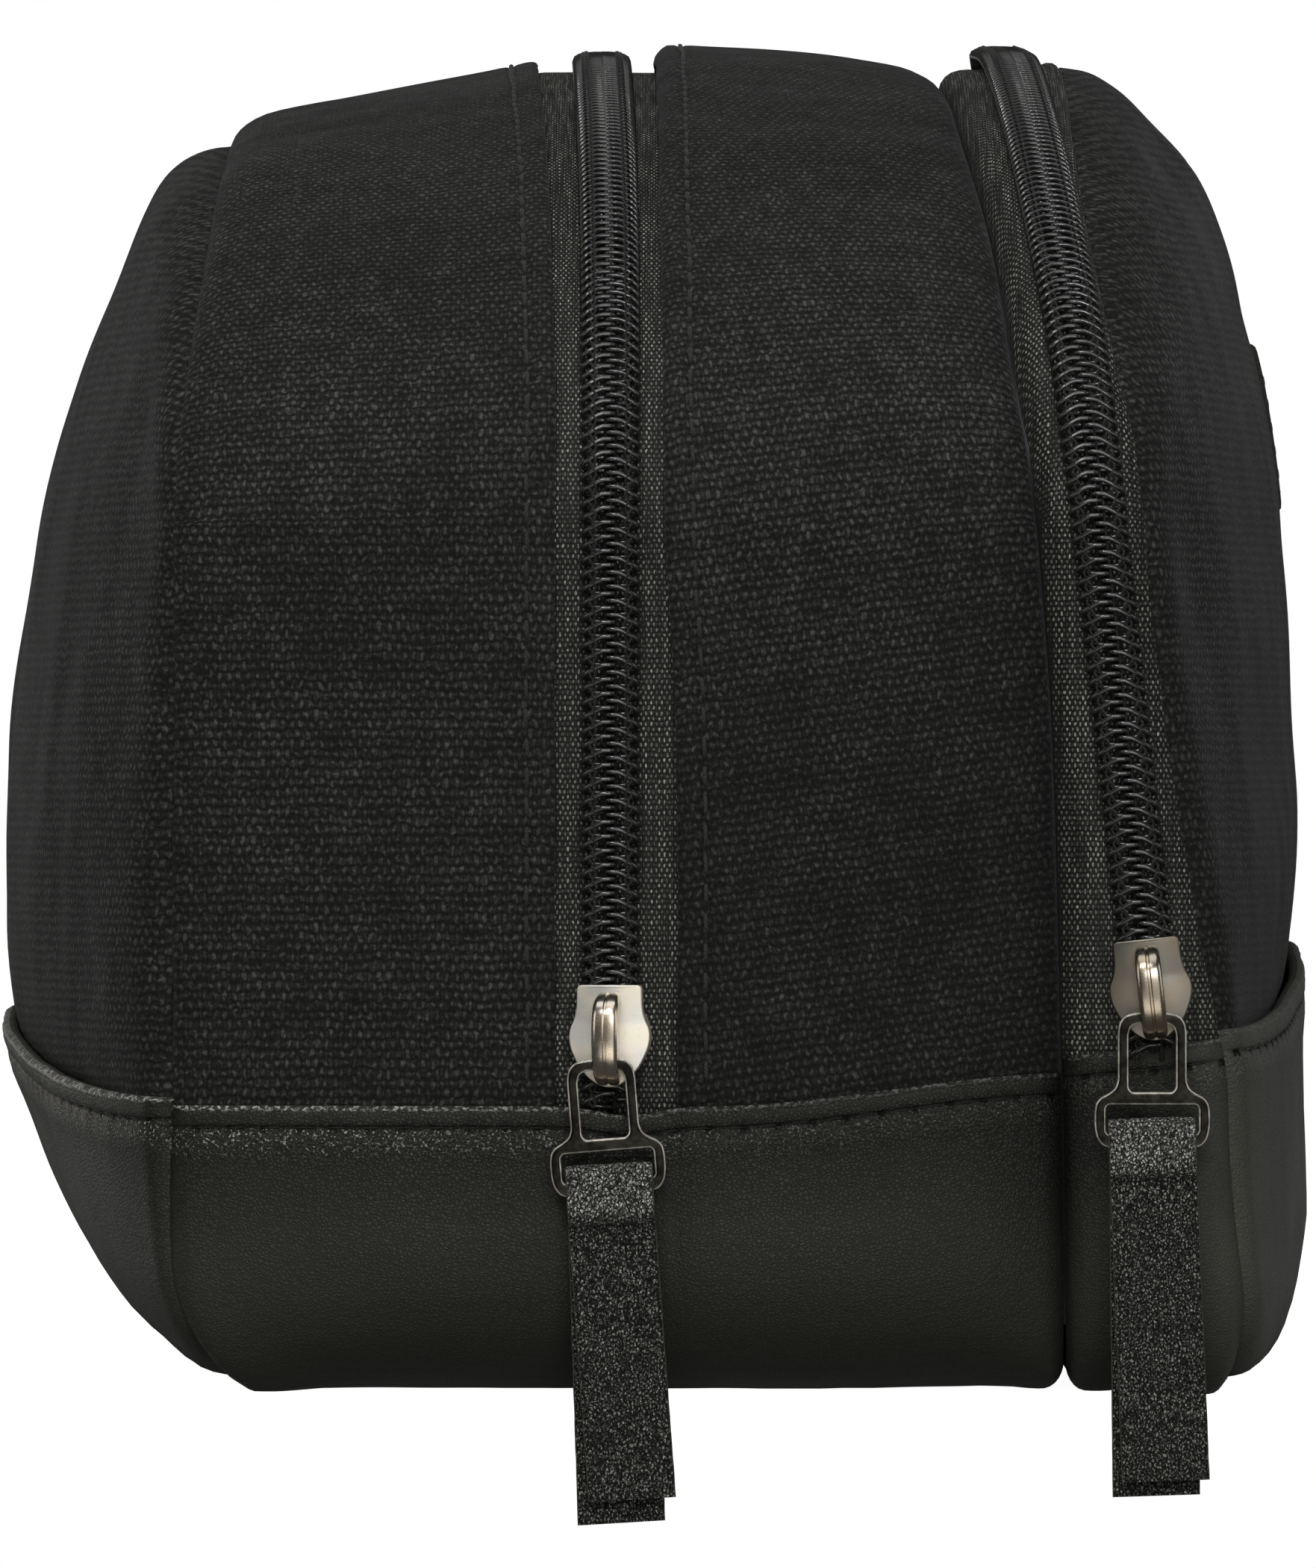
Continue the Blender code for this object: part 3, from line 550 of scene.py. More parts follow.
# ---------------------------------------------------------------- materials
class Mat:
    """A procedural material built from nodes; lengths are in millimetres."""

    def __init__(self, name):
        self.m = bpy.data.materials.new(name)
        self.m.use_nodes = True
        self.t = self.m.node_tree
        self.t.nodes.clear()
        out = self.t.nodes.new("ShaderNodeOutputMaterial")
        self.b = self.t.nodes.new("ShaderNodeBsdfPrincipled")
        self.t.links.new(self.b.outputs[0], out.inputs[0])

    def put(self, sock, v):
        if isinstance(v, bpy.types.NodeSocket):
            self.t.links.new(v, sock)
        elif isinstance(v, (tuple, list)) and len(v) == 3 and sock.type == "RGBA":
            sock.default_value = (*v, 1.0)
        else:
            sock.default_value = v

    def shader(self, **kw):
        for k, v in kw.items():
            self.put(self.b.inputs[k.replace("_", " ")], v)
        return self

    def math(self, op, a, b=None, c=None, clamp=False):
        n = self.t.nodes.new("ShaderNodeMath")
        n.operation = op
        n.use_clamp = clamp
        for i, v in enumerate((a, b, c)):
            if v is not None:
                self.put(n.inputs[i], v)
        return n.outputs[0]

    def mul(self, a, b):
        return self.math("MULTIPLY", a, b)

    def plus(self, a, b):
        return self.math("ADD", a, b)

    def vec(self, op, a, b=None, scale=None):
        n = self.t.nodes.new("ShaderNodeVectorMath")
        n.operation = op
        self.put(n.inputs[0], a)
        if b is not None:
            self.put(n.inputs[1], b)
        if scale is not None:
            self.put(n.inputs["Scale"], scale)
        return n.outputs[0]

    def mm(self):
        n = self.t.nodes.new("ShaderNodeTexCoord")
        return self.vec("SCALE", n.outputs["Object"], scale=1000.0)

    def uv(self):
        n = self.t.nodes.new("ShaderNodeUVMap")
        n.uv_map = "mm"
        return n.outputs[0]

    def split(self, v):
        n = self.t.nodes.new("ShaderNodeSeparateXYZ")
        self.put(n.inputs[0], v)
        return n.outputs

    def join(self, x, y, z=0.0):
        n = self.t.nodes.new("ShaderNodeCombineXYZ")
        for i, v in enumerate((x, y, z)):
            self.put(n.inputs[i], v)
        return n.outputs[0]

    def noise(self, v, scale, detail=2.0, rough=0.5, colour=False):
        n = self.t.nodes.new("ShaderNodeTexNoise")
        self.put(n.inputs["Vector"], v)
        n.inputs["Scale"].default_value = scale
        n.inputs["Detail"].default_value = detail
        n.inputs["Roughness"].default_value = rough
        return n.outputs["Color" if colour else "Fac"]

    def voronoi(self, v, scale, feature="DISTANCE_TO_EDGE", random=1.0, smooth=None):
        n = self.t.nodes.new("ShaderNodeTexVoronoi")
        n.feature = feature
        self.put(n.inputs["Vector"], v)
        n.inputs["Scale"].default_value = scale
        n.inputs["Randomness"].default_value = random
        if smooth is not None:
            n.inputs["Smoothness"].default_value = smooth
        return n.outputs["Distance"]

    def span(self, v, a, b, c=0.0, d=1.0, kind="SMOOTHSTEP"):
        n = self.t.nodes.new("ShaderNodeMapRange")
        n.interpolation_type = kind
        self.put(n.inputs["Value"], v)
        for k, x in (("From Min", a), ("From Max", b), ("To Min", c), ("To Max", d)):
            self.put(n.inputs[k], x)
        return n.outputs["Result"]

    def mix(self, f, a, b):
        n = self.t.nodes.new("ShaderNodeMix")
        n.data_type = "RGBA"
        self.put(n.inputs[0], f)
        self.put(n.inputs[6], a)
        self.put(n.inputs[7], b)
        return n.outputs[2]

    def bump(self, height, distance, strength=1.0, normal=None):
        n = self.t.nodes.new("ShaderNodeBump")
        n.inputs["Strength"].default_value = strength
        n.inputs["Distance"].default_value = distance * MM
        self.put(n.inputs["Height"], height)
        if normal is not None:
            self.put(n.inputs["Normal"], normal)
        return n.outputs[0]


def weave(m, pitch_u, pitch_v, wobble=0.10, slub=1.0, wide=0.62, tall=0.55, under=0.30, ragged=0.62, gap=0.0):
    """Height of a plain weave: raised warp floats standing in staggered rows."""
    obj = m.mm()
    w = m.vec("SUBTRACT", m.noise(obj, 0.33, 2.0, 0.55, colour=True), (0.5, 0.5, 0.5))
    q = m.vec("ADD", m.uv(), m.vec("SCALE", w, scale=wobble * 8))
    w2 = m.vec("SUBTRACT", m.noise(obj, 1.3 / pitch_v, 1.0, 0.5, colour=True), (0.5, 0.5, 0.5))
    q = m.vec("ADD", q, m.vec("MULTIPLY", w2, (ragged * pitch_u, ragged * pitch_v, 0.0)))
    u, v, _ = m.split(q)
    su = m.math("SINE", m.mul(u, math.pi / pitch_u))
    sv = m.math("SINE", m.mul(v, math.pi / pitch_v))
    prod = m.mul(su, sv)
    a = m.mul(m.math("POWER", m.math("ABSOLUTE", su), wide),
              m.plus(gap, m.mul(m.math("POWER", m.math("ABSOLUTE", sv), tall), 1.0 - gap)))
    up = m.span(prod, -0.06, 0.10)
    slub_weft = m.noise(m.join(m.mul(u, 0.11), m.mul(v, 0.95 / pitch_v), 3.0), 1.0, 2.0, 0.6)
    slub_warp = m.noise(m.join(m.mul(u, 0.95 / pitch_u), m.mul(v, 0.09), 9.0), 1.0, 2.0, 0.6)
    thread = m.plus(m.mul(up, m.span(slub_warp, 0.3, 0.7)),
                    m.mul(m.math("SUBTRACT", 1.0, up), m.span(slub_weft, 0.3, 0.7, 0.0, 0.8)))
    height = m.mul(a, m.plus(under, m.mul(up, 1.0 - under)))
    height = m.mul(height, m.plus(1.0 - 0.35 * slub, m.mul(thread, 0.35 * slub)))
    return height, up, thread, obj


def canvas_material(name, dark, light, haze=1.0):
    m = Mat(name)
    height, up, thread, obj = weave(m, 0.51, 1.02, wide=0.34, tall=2.1, under=0.46, ragged=1.15, gap=0.22)
    fuzz = m.noise(obj, 2.6, 4.0, 0.78)
    broad = m.noise(obj, 0.028, 3.0, 0.6)
    patch = m.noise(obj, 0.30, 2.0, 0.5)
    f = m.mul(m.math("POWER", height, 1.25), m.span(fuzz, 0.36, 0.66, 0.30, 1.60))
    f = m.mul(f, m.span(broad, 0.32, 0.68, 0.80, 1.15))
    f = m.mul(f, m.span(patch, 0.28, 0.72, 0.70, 1.25))
    ox, oy, oz = m.split(obj)
    # painted shade: the cloth is darkened lower down, from the middle of the bag towards its front
    low = m.mul(m.span(oz, 92.0, 45.0), m.span(ox, -22.0, 4.0))
    f = m.mul(f, m.plus(1.0, m.mul(low, -0.42)))
    hair = m.noise(m.vec("MULTIPLY", obj, (2.6, 2.6, 1.3)), 1.9, 3.0, 0.75)
    f = m.plus(f, m.mul(m.span(hair, 0.55, 0.80), 0.40))
    colour = m.mix(m.math("MINIMUM", f, 1.0), dark, light)
    h = m.plus(height, m.mul(fuzz, 0.5))
    # soft folds of the stretched cloth
    folds = m.noise(m.vec("ADD", m.vec("MULTIPLY", obj, (1.0, 1.0, 0.6)), (40.0, 12.0, 5.0)), 0.040, 2.0, 0.45)
    n = m.bump(folds, 6.0, 0.55)
    n = m.bump(h, 0.20, 0.7, n)
    m.shader(Base_Color=colour, Roughness=0.93, Normal=n)
    m.b.inputs["Specular IOR Level"].default_value = 0.16
    m.b.inputs["Sheen Weight"].default_value = 0.13 * haze
    m.b.inputs["Sheen Roughness"].default_value = 0.30
    m.b.inputs["Sheen Tint"].default_value = (0.62, 0.63, 0.64, 1)
    return m.m


def tape_material(name):
    m = Mat(name)
    height, up, thread, obj = weave(m, 0.275, 0.55, wobble=0.02, wide=0.45, tall=0.7, under=0.42, ragged=0.7)
    fuzz = m.noise(obj, 5.0, 2.0, 0.6)
    f = m.mul(m.math("POWER", height, 2.3), m.plus(0.25, m.mul(thread, 0.95)))
    f = m.mul(f, m.span(fuzz, 0.3, 0.72, 0.35, 1.4))
    colour = m.mix(m.math("MINIMUM", f, 1.0), (0.0034, 0.0035, 0.0030), (0.58, 0.59, 0.52))
    m.shader(Base_Color=colour, Roughness=0.62, Normal=m.bump(height, 0.10, 0.7))
    m.b.inputs["Specular IOR Level"].default_value = 0.25
    m.b.inputs["Sheen Weight"].default_value = 0.03
    return m.m


def leather_material(name, base=(0.0158, 0.0162, 0.0136), grain=0.42, depth=0.075, rough=0.45,
                     wrinkle=0.16):
    """UV: along the strip, and the distance below its folded top edge."""
    m = Mat(name)
    obj = m.mm()
    along, below, _ = m.split(m.uv())
    warp = m.vec("ADD", obj, m.vec("SCALE", m.noise(obj, 0.9, 2.0, 0.5, colour=True), scale=0.5))
    cells = m.span(m.voronoi(warp, 1.0 / grain), 0.0, 0.30)
    fine = m.noise(obj, 3.4 / grain, 2.0, 0.6)
    creases = m.noise(m.vec("MULTIPLY", obj, (0.45, 0.45, 0.7)), 1.0, 3.0, 0.6)
    # fine wrinkles where the leather turns over, and streaks pulled down from the stitches; the same masks also
    # carry painted highlights
    lip = m.span(below, 0.30, 0.80, 1.0, 0.0)
    lip = m.mul(lip, m.span(below, -0.9, -0.1, 0.0, 1.0))
    lip_n = m.noise(m.join(m.mul(along, 1.9), m.mul(below, 2.6), 1.0), 1.0, 3.0, 0.7)
    pull = m.mul(m.span(below, 2.3, 2.8, 0.0, 1.0), m.span(below, 3.3, 6.5, 1.0, 0.0))
    pull_n = m.noise(m.join(m.mul(along, 1.25), m.mul(below, 2.3), 4.0), 1.0, 3.0, 0.7)
    height = m.plus(m.mul(cells, 0.75), m.mul(fine, 0.5))
    broad = m.noise(obj, 0.035, 3.0, 0.55)
    tone = m.span(broad, 0.3, 0.7, 0.82, 1.22)
    lighter = tuple(c * 1.9 + 0.002 for c in base)
    colour = m.mix(m.mul(m.mul(cells, tone), 0.85), tuple(c * 0.55 for c in base), lighter)
    # painted light: paler towards the foot and round the corners
    ox, oy, oz = m.split(obj)
    painted_light_lift = m.plus(m.span(oz, 26.0, 5.0, 0.0, 0.62),
                    m.plus(m.plus(m.span(ox, 46.0, 62.0, 0.0, 0.40), m.span(ox, -24.0, -48.0, 0.0, 0.10)), m.span(ox, -52.0, -64.0, 0.0, 0.40)))
    colour = m.mix(m.math("MINIMUM", painted_light_lift, 1.0), colour, tuple(c * 3.1 for c in base))
    # painted sheen: the sides of the bands are lightened, more so lower down
    edge = m.plus(m.span(ox, 50.0, 64.0, 0.0, 1.0), m.span(ox, -54.0, -66.0, 0.0, 1.0))
    colour = m.mix(m.mul(edge, m.span(oz, 62.0, 40.0, 0.0, 0.55)), colour, tuple(c * 6.0 for c in base))
    # painted highlight: pale glints along the folded lip, strongest towards the rear side
    colour = m.mix(m.mul(lip, m.mul(m.span(lip_n, 0.47, 0.64, 0.03, 1.0), m.span(m.split(obj)[0], -48.0, 25.0, 1.0, 0.22))),
                   colour, (0.62, 0.62, 0.59))
    # needle holes of the row sewn under the lip, painted as dark dots: painted shade in the holes
    step = m.math("ABSOLUTE", m.math("SUBTRACT", m.math("FRACT", m.mul(along, 1 / 3.6)), 0.5))
    hole = m.mul(m.span(step, 0.06, 0.17, 1.0, 0.0),
                 m.span(m.math("ABSOLUTE", m.math("SUBTRACT", below, 2.55)), 0.25, 0.60, 1.0, 0.0))
    colour = m.mix(hole, colour, (0.0012, 0.0012, 0.0011))
    # painted highlight: glints in the streaks under the stitches, strongest towards the rear side
    painted_glint = m.mul(pull, m.mul(m.span(m.noise(obj, 3.3, 2.0, 0.6), 0.57, 0.70), m.span(ox, -48.0, 30.0, 1.0, 0.25)))
    colour = m.mix(painted_glint, colour, (0.48, 0.48, 0.44))
    r = m.plus(m.span(fine, 0.25, 0.75, rough + 0.10, rough - 0.06),
               m.span(broad, 0.3, 0.7, 0.05, -0.05))
    r = m.math("SUBTRACT", r, m.mul(m.plus(lip, m.mul(pull, 0.5)), 0.10))
    n = m.bump(creases, wrinkle, 0.5)
    n = m.bump(m.plus(m.mul(lip, lip_n), m.mul(pull, m.mul(pull_n, 0.9))), 0.55, 0.7, n)
    n = m.bump(height, depth, 0.8, n)
    m.shader(Base_Color=colour, Roughness=r, Normal=n)
    m.b.inputs["Specular IOR Level"].default_value = 0.27
    m.b.inputs["Specular Tint"].default_value = (1.0, 1.0, 0.93, 1)
    return m.m


def pebble_material(name):
    """UV: across the strap, and the height over the bar on the stretched front of the fold."""
    m = Mat(name)
    obj = m.mm()
    _, along, _ = m.split(m.uv())
    fold_highlight = m.span(along, -3.9, -3.3, 0.0, 1.0)
    warp = m.vec("ADD", obj, m.vec("SCALE", m.noise(obj, 1.3, 2.0, 0.5, colour=True), scale=0.45))
    cells = m.span(m.voronoi(m.vec("MULTIPLY", warp, (1.15, 1.0, 0.85)), 2.5), 0.0, 0.20)
    small = m.span(m.voronoi(warp, 4.8), 0.0, 0.16)
    height = m.plus(m.mul(cells, 0.7), m.mul(small, 0.3))
    fine = m.noise(obj, 4.4, 2.0, 0.6)
    height = m.plus(height, m.mul(fine, 0.20))
    coarse = m.noise(m.vec("MULTIPLY", obj, (1.3, 1.0, 0.9)), 3.6, 1.0, 0.5)
    # painted highlight: glints on the pebble tops, brighter still on the fold over the bar
    painted_glint = m.mul(m.mul(cells, m.plus(0.5, m.mul(small, 0.5))), m.span(coarse, 0.44, 0.66, 0.02, 0.80))
    light = m.plus(m.mul(painted_glint, m.plus(0.75, m.mul(fold_highlight, 1.1))), m.mul(m.mul(cells, fold_highlight), 0.10))
    colour = m.mix(m.mul(cells, 0.7), (0.0008, 0.0008, 0.0007), (0.0135, 0.0137, 0.0122))
    colour = m.mix(m.math("MINIMUM", light, 1.0), colour, (0.80, 0.80, 0.75))
    r = m.plus(m.span(fine, 0.3, 0.7, 0.10, 0.0), m.span(m.mul(cells, m.plus(0.4, small)), 0.10, 1.0, 0.70, 0.24))
    m.shader(Base_Color=colour, Roughness=r, Normal=m.bump(height, 0.34, 1.0))
    m.b.inputs["Specular IOR Level"].default_value = 0.36
    m.b.inputs["Specular Tint"].default_value = (1.0, 1.0, 0.92, 1)
    return m.m


def edge_material(name):
    m = Mat(name)
    obj = m.mm()
    f = m.noise(m.vec("MULTIPLY", obj, (3.0, 6.0, 3.0)), 1.0, 4.0, 0.7)
    colour = m.mix(f, (0.035, 0.033, 0.026), (0.115, 0.110, 0.086))
    m.shader(Base_Color=colour, Roughness=0.85, Normal=m.bump(f, 0.12, 0.8))
    m.b.inputs["Specular IOR Level"].default_value = 0.25
    return m.m


def metal_material(name, tint, rough=0.24, stain=0.35):
    m = Mat(name)
    obj = m.mm()
    cloud = m.noise(obj, 0.30, 2.0, 0.5)
    brushed = m.noise(m.vec("MULTIPLY", obj, (1.1, 1.1, 9.0)), 1.0, 3.0, 0.6)
    spots = m.span(m.noise(obj, 4.6, 2.0, 0.6), 0.60, 0.74)
    warm = tuple(c * k for c, k in zip(tint, (1.06, 0.99, 0.91)))
    cool = tuple(c * k for c, k in zip(tint, (0.93, 0.95, 0.97)))
    colour = m.mix(m.span(cloud, 0.36, 0.64), cool, warm)
    colour = m.mix(m.mul(spots, stain), colour, tuple(c * 0.35 for c in tint))
    r = m.plus(m.span(cloud, 0.3, 0.7, rough - 0.03, rough + 0.05), m.mul(spots, 0.10))
    m.shader(Base_Color=colour, Metallic=1.0, Roughness=r,
             Normal=m.bump(brushed, 0.010, 0.6))
    return m.m


def link_material(name):
    """Dark plated wire; its rounded corners are painted pale as painted highlights."""
    m = Mat(name)
    obj = m.mm()
    n = m.t.nodes.new("ShaderNodeTexCoord")
    # painted highlight: faces turned away from the front get a pale, less metallic colour, the flat front a dark
    # one
    face = m.span(m.math("ABSOLUTE", m.split(n.outputs["Normal"])[1]), 0.84, 0.975)
    cloud = m.span(m.noise(obj, 0.8, 3.0, 0.6), 0.35, 0.65)
    dark = m.mix(cloud, (0.016, 0.015, 0.012), (0.040, 0.037, 0.030))
    light = m.mix(cloud, (0.40, 0.38, 0.32), (0.85, 0.81, 0.70))
    m.shader(Base_Color=m.mix(face, light, dark), Metallic=m.span(face, 0.0, 1.0, 0.25, 1.0),
             Roughness=m.span(face, 0.0, 1.0, 0.34, 0.22),
             Normal=m.bump(m.noise(obj, 3.0, 3.0, 0.6), 0.010, 0.6))
    return m.m


def coil_material(name):
    m = Mat(name)
    obj = m.mm()
    f = m.noise(obj, 1.6, 3.0, 0.6)
    colour = m.mix(f, (0.012, 0.012, 0.012), (0.034, 0.034, 0.033))
    m.shader(Base_Color=colour, Roughness=m.span(f, 0.3, 0.7, 0.12, 0.22),
             Normal=m.bump(m.noise(obj, 9.0, 2.0, 0.5), 0.012, 0.5))
    m.b.inputs["Specular IOR Level"].default_value = 0.9
    return m.m


def thread_material(name, dark, light, rough=0.7):
    m = Mat(name)
    obj = m.mm()
    x, y, z = m.split(obj)
    ply = m.math("SINE", m.mul(m.plus(m.plus(x, y), z), 2 * math.pi / 0.42))
    f = m.plus(m.mul(m.noise(obj, 6.0, 2.0, 0.6), 0.7), m.mul(ply, 0.25))
    m.shader(Base_Color=m.mix(f, dark, light), Roughness=rough,
             Normal=m.bump(f, 0.05, 0.8))
    m.b.inputs["Specular IOR Level"].default_value = 0.35
    m.b.inputs["Sheen Weight"].default_value = 0.15
    return m.m


def plain_cloth(name, dark, light, pitch=0.3):
    m = Mat(name)
    obj = m.mm()
    x, y, z = m.split(obj)
    k = 2 * math.pi / pitch
    f = m.mul(m.math("SINE", m.mul(m.plus(x, y), k)), m.math("SINE", m.mul(m.plus(z, m.mul(y, 0.3)), k)))
    f = m.plus(m.mul(f, 0.3), m.noise(obj, 2.0, 3.0, 0.6))
    m.shader(Base_Color=m.mix(f, dark, light), Roughness=0.75, Normal=m.bump(f, 0.06, 0.6))
    m.b.inputs["Sheen Weight"].default_value = 0.1
    return m.m


M_CANVAS = canvas_material("canvas_weave", (0.0080, 0.0081, 0.0077), (0.102, 0.102, 0.098))
M_TAPE = tape_material("zip_tape_weave")
M_LEATHER = leather_material("smooth_leather")
M_PEBBLE = pebble_material("pebbled_leather")
M_EDGE = edge_material("cut_leather_edge")
# painted light: the same gunmetal is tinted brighter for the main slider and darker for the pocket slider, as lit
# and shaded copies
M_PLATE = {"main": metal_material("gunmetal_plate_painted_lit", (1.0, 0.955, 0.875), 0.50, 0.22),
           "pocket": metal_material("gunmetal_plate_painted_shaded", (0.27, 0.245, 0.205), 0.38, 0.30)}
M_CROWN = {"main": metal_material("gunmetal_crown_painted_lit", (0.72, 0.645, 0.545), 0.23, 0.16),
           "pocket": metal_material("gunmetal_crown_painted_shaded", (0.46, 0.41, 0.34), 0.22, 0.20)}
M_LINK = link_material("gunmetal_link")
M_COIL = coil_material("nylon_coil")
M_THREAD = thread_material("black_thread", (0.004, 0.004, 0.004), (0.022, 0.022, 0.021))
M_TOPTHREAD = thread_material("topstitch_thread", (0.010, 0.010, 0.010), (0.055, 0.055, 0.053))
M_CHAIN = thread_material("chain_thread", (0.003, 0.003, 0.003), (0.022, 0.022, 0.021), 0.6)
M_LINING = plain_cloth("lining_cloth", (0.030, 0.031, 0.035), (0.070, 0.072, 0.078))
M_FOAM = plain_cloth("foam_pad", (0.22, 0.22, 0.21), (0.36, 0.36, 0.35), 1.1)
M_BOARD = plain_cloth("base_board", (0.10, 0.08, 0.06), (0.22, 0.17, 0.12), 0.9)

for name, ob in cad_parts.items():
    m = M_LINING
    if name.startswith("foam"):
        m = M_FOAM
    elif name == "base_board":
        m = M_BOARD
    for s in ob.material_slots:
        s.material = m

# ---------------------------------------------------------------- canvas strips of the upper
UP = np.array((0.0, 0.0, 1.0))
ROLL = [(0.10, -2.4), (0.16, -1.7), (0.34, -1.05), (0.7, -0.5), (1.2, -0.16), (1.9, 0.05),
        (2.8, 0.17), (4.0, 0.20), (5.5, 0.12), (7.5, 0.03)]
FOLD = [(7.5, 0.0), (5.4, 0.02), (4.2, 0.05), (3.6, 0.02), (3.25, -0.10), (3.0, -0.20), (2.75, -0.10),
        (2.3, 0.04), (1.5, 0.06), (0.95, 0.0), (0.50, -0.13), (0.18, -0.37), (0.02, -0.70), (0.06, -1.02),
        (0.28, -1.30), (0.7, -1.45), (2.0, -1.50), (5.0, -1.50)]
LONG = 2 * HALF_L


def out_of(P):
    """Outward directions for a strip of the loop: away from the middle of the bag."""
    O = P.copy()
    O[..., 0] = 0
    O[..., 1] = P[..., 1] * 0.75
    O[..., 2] = (P[..., 2] - 62) * 1.1
    return O


def loop_stations(start, step=1.5):
    """Number of path stations of one column from the near end over the top to the far end."""
    n = int((LONG - 2 * -4.0) / step)
    return n


def wrinkle(x, y, z, amount):
    a = vnoise(x, y, z, 34.0, 3.1) * 0.9 + vnoise(x, y, z, 15.0, 8.4) * 0.45
    return a * amount


def loop_strip(name, cols, low, mat, replaces, nlong=290, soft=0.5, turn=0.0):
    """cols: list of functions L -> (x, h)."""
    P = np.zeros((len(cols), nlong, 3))
    UV = np.zeros((len(cols), nlong, 2))
    for i, col in enumerate(cols):
        x0, _ = col(0.0)
        a = low(x0) - BAND_Z - 2.2
        for j in range(nlong):
            L = a + (LONG - 2 * a) * j / (nlong - 1)
            x, h = col(L)
            tuck = -1.0 * (1 - smooth((near(L) - a) / 2.6))
            p = place(x, L, 0.0)
            h = h + tuck + wrinkle(*p, soft) * smooth((near(L) - a) / 14.0)
            P[i, j] = place(x, L, h)
            UV[i, j] = (x + turn * L, L - turn * x)
    return surface(name, P, UV, mat, "root", out_of(P), replaces)


def edge_wave(L, seed):
    return 0.16 * noise.noise(Vector((L / 17.0, seed, 0.2))) + 0.07 * noise.noise(Vector((L / 4.0, seed, 5.2)))


def strip_columns(x_a, roll_a, x_b, roll_b, n_mid, seed):
    """Columns from rail a (rolled by roll_a) to rail b (rolled by roll_b)."""
    cols = []
    for off, h in roll_a:
        cols.append(lambda L, off=off, h=h: (x_a(L) + off + edge_wave(L, seed), h))
    ea, eb = roll_a[-1][0], roll_b[0][0]
    for k in range(1, n_mid):
        f = k / n_mid
        cols.append(lambda L, f=f: (x_a(L) + ea + (x_b(L) - eb - x_a(L) - ea) * f, 0.0))
    for off, h in roll_b:
        cols.append(lambda L, off=off, h=h: (x_b(L) - off + edge_wave(L, seed + 4), h))
    return cols


x_me = lru_cache(maxsize=None)(x_main)
x_re = lru_cache(maxsize=None)(x_rear_edge)
x_mi = x_mid_edge

loop_strip("canvas_rear", strip_columns(x_rear_seam, ROLL, x_re, FOLD, 18, 1.0),
           end_top, M_CANVAS, ["canvas_gusset_rear"])
REV_FOLD = [(a, h) for a, h in reversed(FOLD)]
mid_cols = []
for off, h in REV_FOLD:
    mid_cols.append(lambda L, off=off, h=h: (x_mi(L) + off + edge_wave(L, 9.0), h))
for k in range(1, 22):
    f = k / 22
    mid_cols.append(lambda L, f=f: (x_mi(L) + 7.5 + (x_valley(L) - 7.5 - x_mi(L) - 7.5) * f, 0.0))
for off, h in reversed(ROLL):
    mid_cols.append(lambda L, off=off, h=h: (x_valley(L) - off, h))
loop_strip("canvas_mid", mid_cols, end_top, M_CANVAS, ["canvas_gusset_mid"], turn=0.14)


# topstitching beside the main opening
top_bag = Bag()
for rail, sign, seed in ((x_re, -1, 2.0), (x_mi, 1, 6.0)):
    pts, nr = [], []
    a = end_top(rail(0.0)) - BAND_Z + 0.5
    for k in range(640):
        L = a + (LONG - 2 * a) * k / 639
        x = rail(L) + sign * 3.0 + edge_wave(L, 5.0 if sign < 0 else 9.0)
        p = place(x, L, 0.0)
        pts.append(place(x, L, -0.22 + wrinkle(*p, 0.5) * smooth((near(L) - a) / 14.0)))
        n = path(L)[1]
        nr.append((0, n[0], n[1]))
    stitch_row(top_bag, pts, nr, 3.1, 2.35, 0.25, proud=0.9, seed=seed)
top_bag.make("canvas_topstitching", M_TOPTHREAD, "root")


# ---------------------------------------------------------------- side panels
def rim_offsets(total, fine, count):
    rest = total / 2 - fine[-1]
    step = rest / count
    left = list(fine) + [fine[-1] + step * k for k in range(1, count + 1)]
    return left + [total - v for v in reversed(left[:-1])]


FINE = [0.12, 0.3, 0.6, 1.0, 1.5, 2.1, 2.9, 4.0, 5.5, 7.5]


def rim_distance(P, up, low, half, use_up, use_low):
    pts = []
    if use_up:
        pts += [(a, b) for a, b in up]
        pts += [(half, z) for z in np.linspace(31, 92, 60)]
    if use_low:
        pts += [(a, b) for a, b in low]
        pts += [(half, z) for z in np.linspace(16, 60, 60)]
        pts += [(a, low[0][1]) for a in np.linspace(0, low[0][0], 80)]
    R = np.array(pts)
    A = np.stack([np.abs(P[..., 1]), P[..., 2]], -1)
    D = np.full(A.shape[:2], 1e9)
    for c in np.array_split(R, 12):
        D = np.minimum(D, np.sqrt(((A[:, :, None, :] - c[None, None]) ** 2).sum(-1)).min(-1))
    return D


def roll_height(D, depth=2.4, width=2.4, puff=0.25):
    t = np.clip(D / width, 0, 1)
    base = -depth * (1 - np.sqrt(np.maximum(0, 1 - (1 - t) ** 2.4)))
    return base + puff * np.exp(-((D - 4.0) / 2.4) ** 2)


